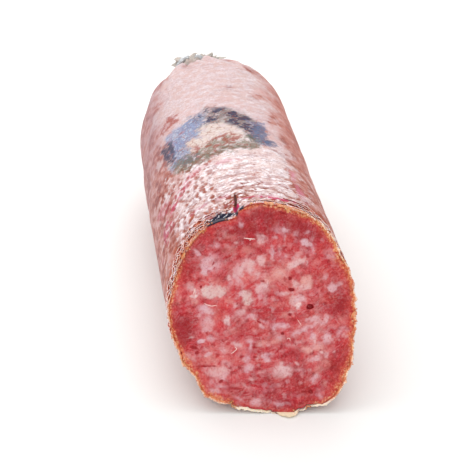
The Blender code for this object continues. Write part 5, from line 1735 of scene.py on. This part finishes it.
def torn_paint():
    p = Paint("torn_film_cream")
    tip, tone = p.attribute("Tip"), p.attribute("Tone")
    fine = p.noise(3.0, 3.0, 0.6)
    mid = p.noise(1.0, 3.0, 0.6)
    level = p.add(p.mul(tone, 0.30), p.mul(fine, 0.25))
    level = p.add(level, p.add(p.mul(mid, 0.30), p.mul(tip, 0.12)))
    body = p.ramp(level, TORN_TONES)
    rough = p.add(0.28, p.mul(fine, 0.25))
    normal = p.bump(p.add(fine, mid), 0.5, 0.00012)
    return p.finish(
        body, rough, normal, Specular_IOR_Level=0.6,
        Subsurface_Weight=0.3, Subsurface_Radius=(1.0, 0.75, 0.4), Subsurface_Scale=0.0008,
    )


def rough_ball(rng, size, squash):
    """A small uneven lump: a subdivided icosahedron pushed about by noise."""
    g = (1 + 5**0.5) / 2
    v = np.array([(-1, g, 0), (1, g, 0), (-1, -g, 0), (1, -g, 0), (0, -1, g), (0, 1, g), (0, -1, -g), (0, 1, -g), (g, 0, -1), (g, 0, 1), (-g, 0, -1), (-g, 0, 1)], float)
    f = [(0, 11, 5), (0, 5, 1), (0, 1, 7), (0, 7, 10), (0, 10, 11), (1, 5, 9), (5, 11, 4), (11, 10, 2), (10, 7, 6), (7, 1, 8), (3, 9, 4), (3, 4, 2), (3, 2, 6), (3, 6, 8), (3, 8, 9), (4, 9, 5), (2, 4, 11), (6, 2, 10), (8, 6, 7), (9, 8, 1)]
    for _ in range(2):
        v = v / np.linalg.norm(v, axis=1)[:, None]
        middle, new_v, out = {}, v.tolist(), []
        for a, b, c in f:
            ids = []
            for x, y in ((a, b), (b, c), (c, a)):
                key = (min(x, y), max(x, y))
                if key not in middle:
                    middle[key] = len(new_v)
                    new_v.append(((v[x] + v[y]) / 2).tolist())
                ids.append(middle[key])
            out += [(a, ids[0], ids[2]), (b, ids[1], ids[0]), (c, ids[2], ids[1]), (ids[0], ids[1], ids[2])]
        v, f = np.array(new_v), out
    v = v / np.linalg.norm(v, axis=1)[:, None]
    seed = rng.randint(1, 9999)
    v = v * (1.0 + 0.42 * perlin(v * 1.3 + seed, 231) + 0.20 * perlin(v * 3.0 + seed, 232))[:, None]
    v = v * np.array(squash) * size
    spin = rng.normal(size=(3, 3))
    spin, _ = np.linalg.qr(spin)
    if np.linalg.det(spin) < 0:
        spin[:, 0] *= -1
    return v @ spin.T, [list(t) for t in f]


def add_crumbs():
    rng = np.random.RandomState(77)
    parts, tones = [], []
    spans = ((-38, 40, 34), (40, 74, 70), (74, 120, 10), (120, 165, 44), (165, 215, 34), (215, 255, 26), (255, 322, 26))
    for low, high, count in spans:
        for _ in range(count):
            deg = rng.uniform(low, high)
            size = 0.09 + 0.24 * rng.rand() ** 2.2
            squash = (1.0, 0.55 + 0.5 * rng.rand(), 0.35 + 0.4 * rng.rand())
            pts, fcs = rough_ball(rng, size * MM, squash)
            inward = -0.05 - 1.1 * rng.rand() ** 1.8 if rng.rand() < 0.75 else 0.12
            at = near_cut(np.array([math.radians(deg)]), inward, 0.10 + 0.15 * rng.rand())[0]
            pts = pts + at
            lowest = pts[:, 2].min()
            if lowest < 0.00002:
                pts[:, 2] += 0.00002 - lowest
            parts.append((pts, fcs))
            tones.append(np.full(len(pts), rng.rand()))
    return joined("rim_crumbs", parts, {"Tone": tones, "Tip": [np.full(len(t), 0.7) for t in tones]}, torn_paint())


def add_threads():
    rng = np.random.RandomState(31)
    parts, tones = [], []
    for path, half in THREADS:
        path = np.array(path, float)
        knots = np.linspace(0, 1, len(path))
        steps = 26
        t = np.linspace(0, 1, steps)
        if len(path) == 3:
            curve = np.outer((1 - t) ** 2, path[0]) + np.outer(t**2, path[2])
            pull = 2 * path[1] - 0.5 * (path[0] + path[2])
            curve += np.outer(2 * t * (1 - t), pull)
        else:
            curve = np.column_stack([np.interp(t, knots, path[:, k]) for k in range(2)])
            for _ in range(6):
                curve[1:-1] = 0.25 * curve[:-2] + 0.5 * curve[1:-1] + 0.25 * curve[2:]
        seed = rng.rand() * 50
        curve += 0.10 * np.column_stack([perlin(np.column_stack([t * 5 + seed, t * 0]), 241), perlin(np.column_stack([t * 5 + seed, t * 0]), 242)])
        lift = 0.13 + 0.10 * np.sin(math.pi * t) + 0.05 * perlin(np.column_stack([t * 6 + seed, t * 0]), 243)
        spine = CENTRE + (curve[:, :1] * ACROSS + curve[:, 1:] * UPWARD + lift[:, None] * NORMAL) * MM
        thick = 0.74 * half * (0.35 + 0.65 * np.sin(math.pi * np.clip(t * 0.96 + 0.02, 0, 1)) ** 0.6)
        thick *= 1.0 + 0.30 * perlin(np.column_stack([t * 7 + seed, t * 0]), 244)
        along = np.gradient(spine, axis=0)
        along /= np.linalg.norm(along, axis=1)[:, None]
        side = np.cross(along, NORMAL)
        side /= np.linalg.norm(side, axis=1)[:, None]
        sides = 8
        rings = []
        for k in range(sides):
            a = 2 * math.pi * k / sides
            rings.append(spine + (side * math.cos(a) + NORMAL * math.sin(a) * 0.75) * (thick * MM)[:, None])
        rings = np.array(rings).transpose(1, 0, 2)
        pts = np.concatenate([rings.reshape(-1, 3), spine[:1] - along[:1] * 0.00005, spine[-1:] + along[-1:] * 0.00005])
        faces = ring_faces(steps, sides)
        i = np.arange(sides)
        j = (i + 1) % sides
        faces += np.stack([i, j, np.full(sides, steps * sides)], -1).tolist()
        end = (steps - 1) * sides
        faces += np.stack([end + j, end + i, np.full(sides, steps * sides + 1)], -1).tolist()
        if outward(pts - pts.mean(0), faces) < 0:
            faces = [f[::-1] for f in faces]
        parts.append((pts, faces))
        tones.append(np.full(len(pts), rng.rand()))
    p = Paint("sinew_white")
    fine = p.noise(4.0, 3.0, 0.6)
    body = p.ramp(p.add(p.mul(fine, 0.6), p.mul(p.attribute("Tone"), 0.3)), SINEW_TONES)
    normal = p.bump(fine, 0.4, 0.0001)
    paint = p.finish(body, p.add(0.28, p.mul(fine, 0.3)), normal, Specular_IOR_Level=0.6, Subsurface_Weight=0.2, Subsurface_Radius=(1.0, 0.6, 0.5), Subsurface_Scale=0.0005)
    return joined("sinew_threads", parts, {"Tone": tones}, paint)


# ---- the clip --------------------------------------------------------------------------------------
def add_wire():
    y = TIP + NECK_START + 0.5 * NECK_LENGTH
    ring = NECK_RADIUS * 1.05 + CLIP_CLEAR + WIRE_RADIUS
    steps, sides = 132, 18
    opening = math.radians(30.0)
    t = np.linspace(0, 1, steps)
    turn = 0.5 * math.pi + opening / 2 + (2 * math.pi - opening) * t
    wide = 1.0 + 0.10 * np.cos(turn) ** 2
    spine = np.column_stack([ring * wide * np.cos(turn), 0.00018 * np.sin(2 * turn + 0.6), ring * np.sin(turn)])
    along = np.gradient(spine, axis=0)
    along /= np.linalg.norm(along, axis=1)[:, None]
    length = np.array([0.0, 1.0, 0.0])
    out = np.cross(along, length)
    out /= np.linalg.norm(out, axis=1)[:, None]
    # the jaws of the clipping tool leave flats and a shallow groove at the bottom and beside the ends
    press = 0.16 * hump(np.degrees(turn), 270.0, 34.0, 0.5) + 0.14 * hump(t, 0.06, 0.07, 0.6) + 0.14 * hump(t, 0.94, 0.07, 0.6)
    rings = []
    for k in range(sides):
        a = 2 * math.pi * k / sides
        c, s = np.cos(a), np.sin(a)
        flat_out = c * (1 - press * (c > 0)) * (1.0 - 0.05 * np.cos(8 * turn) * (c > 0.6))
        spread = s * (1 + 0.5 * press)
        rings.append(spine + (out * flat_out[:, None] + length * spread[:, None]) * (WIRE_RADIUS * (1 - 0.10 * (t < 0.004) - 0.10 * (t > 0.996)))[:, None])
    rings = np.array(rings).transpose(1, 0, 2)
    ends = [spine[:1] - along[:1] * 0.00012, spine[-1:] + along[-1:] * 0.00012]
    pts = np.concatenate([rings.reshape(-1, 3), *ends])
    faces = ring_faces(steps, sides)
    i = np.arange(sides)
    j = (i + 1) % sides
    faces += np.stack([i, j, np.full(sides, steps * sides)], -1).tolist()
    end = (steps - 1) * sides
    faces += np.stack([end + j, end + i, np.full(sides, steps * sides + 1)], -1).tolist()
    aside, up = centre_line(np.array(y))
    c, s = math.cos(TAIL_RISE), math.sin(TAIL_RISE)
    tilt = np.array([[1, 0, 0], [0, c, -s], [0, s, c]])
    pts = pts @ tilt.T + np.array([float(aside) + OFFSET_X, y + OFFSET_Y, AXIS_HEIGHT + float(up)])
    if outward(pts - pts.mean(0), faces) < 0:
        faces = [f[::-1] for f in faces]
    pressed = np.concatenate([np.repeat(press * 6, sides), [0, 0]])
    ob = mesh_piece("crimped_wire", pts, faces, {"Pressed": np.clip(pressed, 0, 1)})
    p = Paint("clip_metal")
    scratch = p.noise(6.0, 3.0, 0.6, vector=p.scaled((300.0, 2500.0, 300.0)))
    smudge = p.noise(0.9, 3.0, 0.6)
    dull = p.step(smudge, 0.42, 0.66)
    body = p.mix(dull, linear(196, 198, 202), linear(150, 150, 152))
    body = p.mix(p.mul(p.attribute("Pressed"), 0.4), body, linear(222, 223, 226))
    rough = p.add(p.add(0.24, p.mul(dull, 0.22)), p.mul(scratch, 0.14))
    normal = p.bump(scratch, 0.25, 0.00006)
    ob.data.materials.append(p.finish(body, rough, normal, Metallic=1.0))
    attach(ob, "root")
    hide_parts("clip")
    return ob


# ---- floor, light and camera -------------------------------------------------------------------------
def add_floor():
    size, steps = 3.0, 24
    line = np.linspace(-size, size, steps + 1)
    x, y = np.meshgrid(line, line)
    points = np.column_stack([x.ravel(), y.ravel(), np.zeros(x.size)])
    i, j = np.meshgrid(np.arange(steps), np.arange(steps), indexing="ij")
    a = (i * (steps + 1) + j).ravel()
    faces = np.stack([a, a + 1, a + steps + 2, a + steps + 1], -1).tolist()
    ob = mesh_piece("floor", points, faces)
    p = Paint("pale_floor")
    body = p.mix(p.noise(0.004, 2.0), (*FLOOR, 1.0), (*[c * 0.992 for c in FLOOR], 1.0))
    ob.data.materials.append(p.finish(body, 0.6, None, Specular_IOR_Level=0.15))


def add_lights():
    scene = bpy.context.scene
    world = bpy.data.worlds.new("studio")
    world.use_nodes = True
    background = world.node_tree.nodes["Background"]
    background.inputs[0].default_value = (1.0, 0.995, 0.985, 1.0)
    background.inputs[1].default_value = WORLD
    scene.world = world
    target = Vector((0.0, -0.01, 0.02))
    for name, at, size, power, tint in LAMPS:
        lamp = bpy.data.lights.new(name, "AREA")
        lamp.shape = "RECTANGLE"
        lamp.size, lamp.size_y = size
        lamp.energy = power
        lamp.color = tint
        ob = bpy.data.objects.new(name, lamp)
        scene.collection.objects.link(ob)
        ob.location = at
        ob.rotation_euler = (target - Vector(at)).to_track_quat("-Z", "Y").to_euler()
        ob.visible_camera = False


def add_camera():
    camera = bpy.data.cameras.new("camera")
    camera.sensor_width = 36.0
    camera.lens = 1467.66 / 475.0 * 36.0
    camera.clip_start = 0.01
    camera.clip_end = 20.0
    ob = bpy.data.objects.new("camera", camera)
    bpy.context.scene.collection.objects.link(ob)
    ob.location = (-0.05839, -0.41927, 0.23389)
    target = Vector((-0.007636, -0.07418, 0.04851))
    ob.rotation_euler = (target - ob.location).to_track_quat("-Z", "Y").to_euler()
    bpy.context.scene.camera = ob


# ---- colours --------------------------------------------------------------------------------------------
MEAT_TONES = ((0.05, linear(154, 4, 20)), (0.27, linear(177, 19, 35)), (0.48, linear(196, 42, 52)), (0.70, linear(209, 71, 75)), (0.95, linear(218, 104, 102)))
MEAT_PURPLE = linear(164, 28, 52)
MEAT_DEEP = linear(150, 22, 34)
MEAT_WARM = linear(208, 78, 56)
FAT_PINK = linear(224, 188, 190)
FAT_LILAC = linear(219, 181, 191)
FAT_CREAM = linear(219, 191, 186)
FAT_SALMON = linear(225, 163, 153)
FAT_PALE = linear(232, 203, 205)
FAT_WHITE = linear(241, 220, 219)
FAT_DEEPER = linear(208, 136, 143)
PIT_RED = linear(150, 4, 16)
BAND_TONES = ((0.20, linear(152, 34, 24)), (0.38, linear(193, 69, 44)), (0.54, linear(214, 103, 66)), (0.70, linear(228, 142, 98)), (0.90, linear(244, 202, 162)))
SKIN_TONES = ((0.20, linear(132, 54, 40)), (0.42, linear(165, 86, 70)), (0.62, linear(184, 120, 108)), (0.88, linear(204, 164, 162)))
SKIN_ORANGE = linear(192, 96, 58)
SKIN_MAUVE = linear(150, 108, 116)
SKIN_ROSY = linear(178, 92, 76)
SKIN_CREASE = linear(134, 52, 26)
SKIN_BROWN = linear(142, 64, 42)
TUFT_GREY = linear(206, 197, 188)
BLOOM_DULL = linear(206, 158, 152)
BLOOM_WHITE = linear(246, 239, 243)
BLOOM_PINK = linear(212, 182, 190)
# the bloom ramp runs from greyish hollows to white ridges: partly painted shade and painted highlight
BLOOM_TONES = ((0.15, linear(176, 146, 146)), (0.38, linear(200, 178, 181)), (0.58, linear(214, 199, 203)), (0.85, linear(232, 224, 227)))
BLOOM_TAN = linear(196, 152, 138)
FILM_BROWN = linear(166, 70, 46)
FILM_ORANGE = linear(214, 108, 62)
SLIT_BROWN = linear(74, 16, 4)
INK_MAGENTA = linear(190, 20, 88)
INK_PINK = linear(206, 108, 146)
INK_NAVY = linear(10, 4, 40)
INK_NAVY_FADED = linear(46, 48, 76)
INK_STEEL = linear(96, 108, 140)
INK_SAGE = linear(104, 104, 104)
INK_BLUE = linear(118, 136, 178)
INK_PALE = linear(190, 198, 218)
INK_GREEN = linear(96, 98, 80)
INK_CREAM = linear(216, 206, 196)
INK_RED = linear(150, 58, 44)
LIP_CREAM = linear(244, 228, 208)
LIP_RAW = linear(162, 34, 34)
LIP_RUST = linear(196, 84, 44)
FLAP_CREAM = linear(250, 226, 194)
LIP_TONES = ((0.24, linear(158, 58, 30)), (0.42, linear(198, 92, 50)), (0.58, linear(218, 128, 80)), (0.78, linear(236, 176, 126)), (0.92, linear(248, 220, 184)))
FILM_TONES = ((0.16, linear(150, 50, 34)), (0.36, linear(200, 88, 52)), (0.52, linear(220, 130, 96)), (0.66, linear(240, 196, 186)), (0.82, linear(252, 242, 246)))
TORN_TONES = ((0.22, linear(166, 70, 34)), (0.40, linear(206, 112, 60)), (0.58, linear(226, 160, 108)), (0.78, linear(250, 230, 196)))
SINEW_TONES = ((0.25, linear(240, 190, 184)), (0.6, linear(252, 226, 220)), (0.85, linear(255, 246, 242)))
FLOOR = (0.86, 0.855, 0.85)

WORLD = 0.86
LAMPS = (
    ("overhead", (-0.08, 0.75, 1.00), (1.30, 1.30), 11.4, (1, 0.995, 0.985)),
    ("front_fill", (-0.20, -0.95, 0.70), (0.90, 0.70), 2.0, (1, 0.995, 0.985)),
    ("left_fill", (-0.85, 0.10, 0.50), (0.60, 0.60), 0.85, (1, 0.995, 0.985)),
)


def main():
    scene = bpy.context.scene
    scene.view_settings.view_transform = "Standard"
    scene.view_settings.look = "None"
    add_camera()
    add_lights()
    add_floor()
    add_meat()
    add_skin()
    add_lip()
    add_folds()
    add_tears()
    add_crumbs()
    add_threads()
    add_wire()
    bpy.context.view_layer.update()


main()
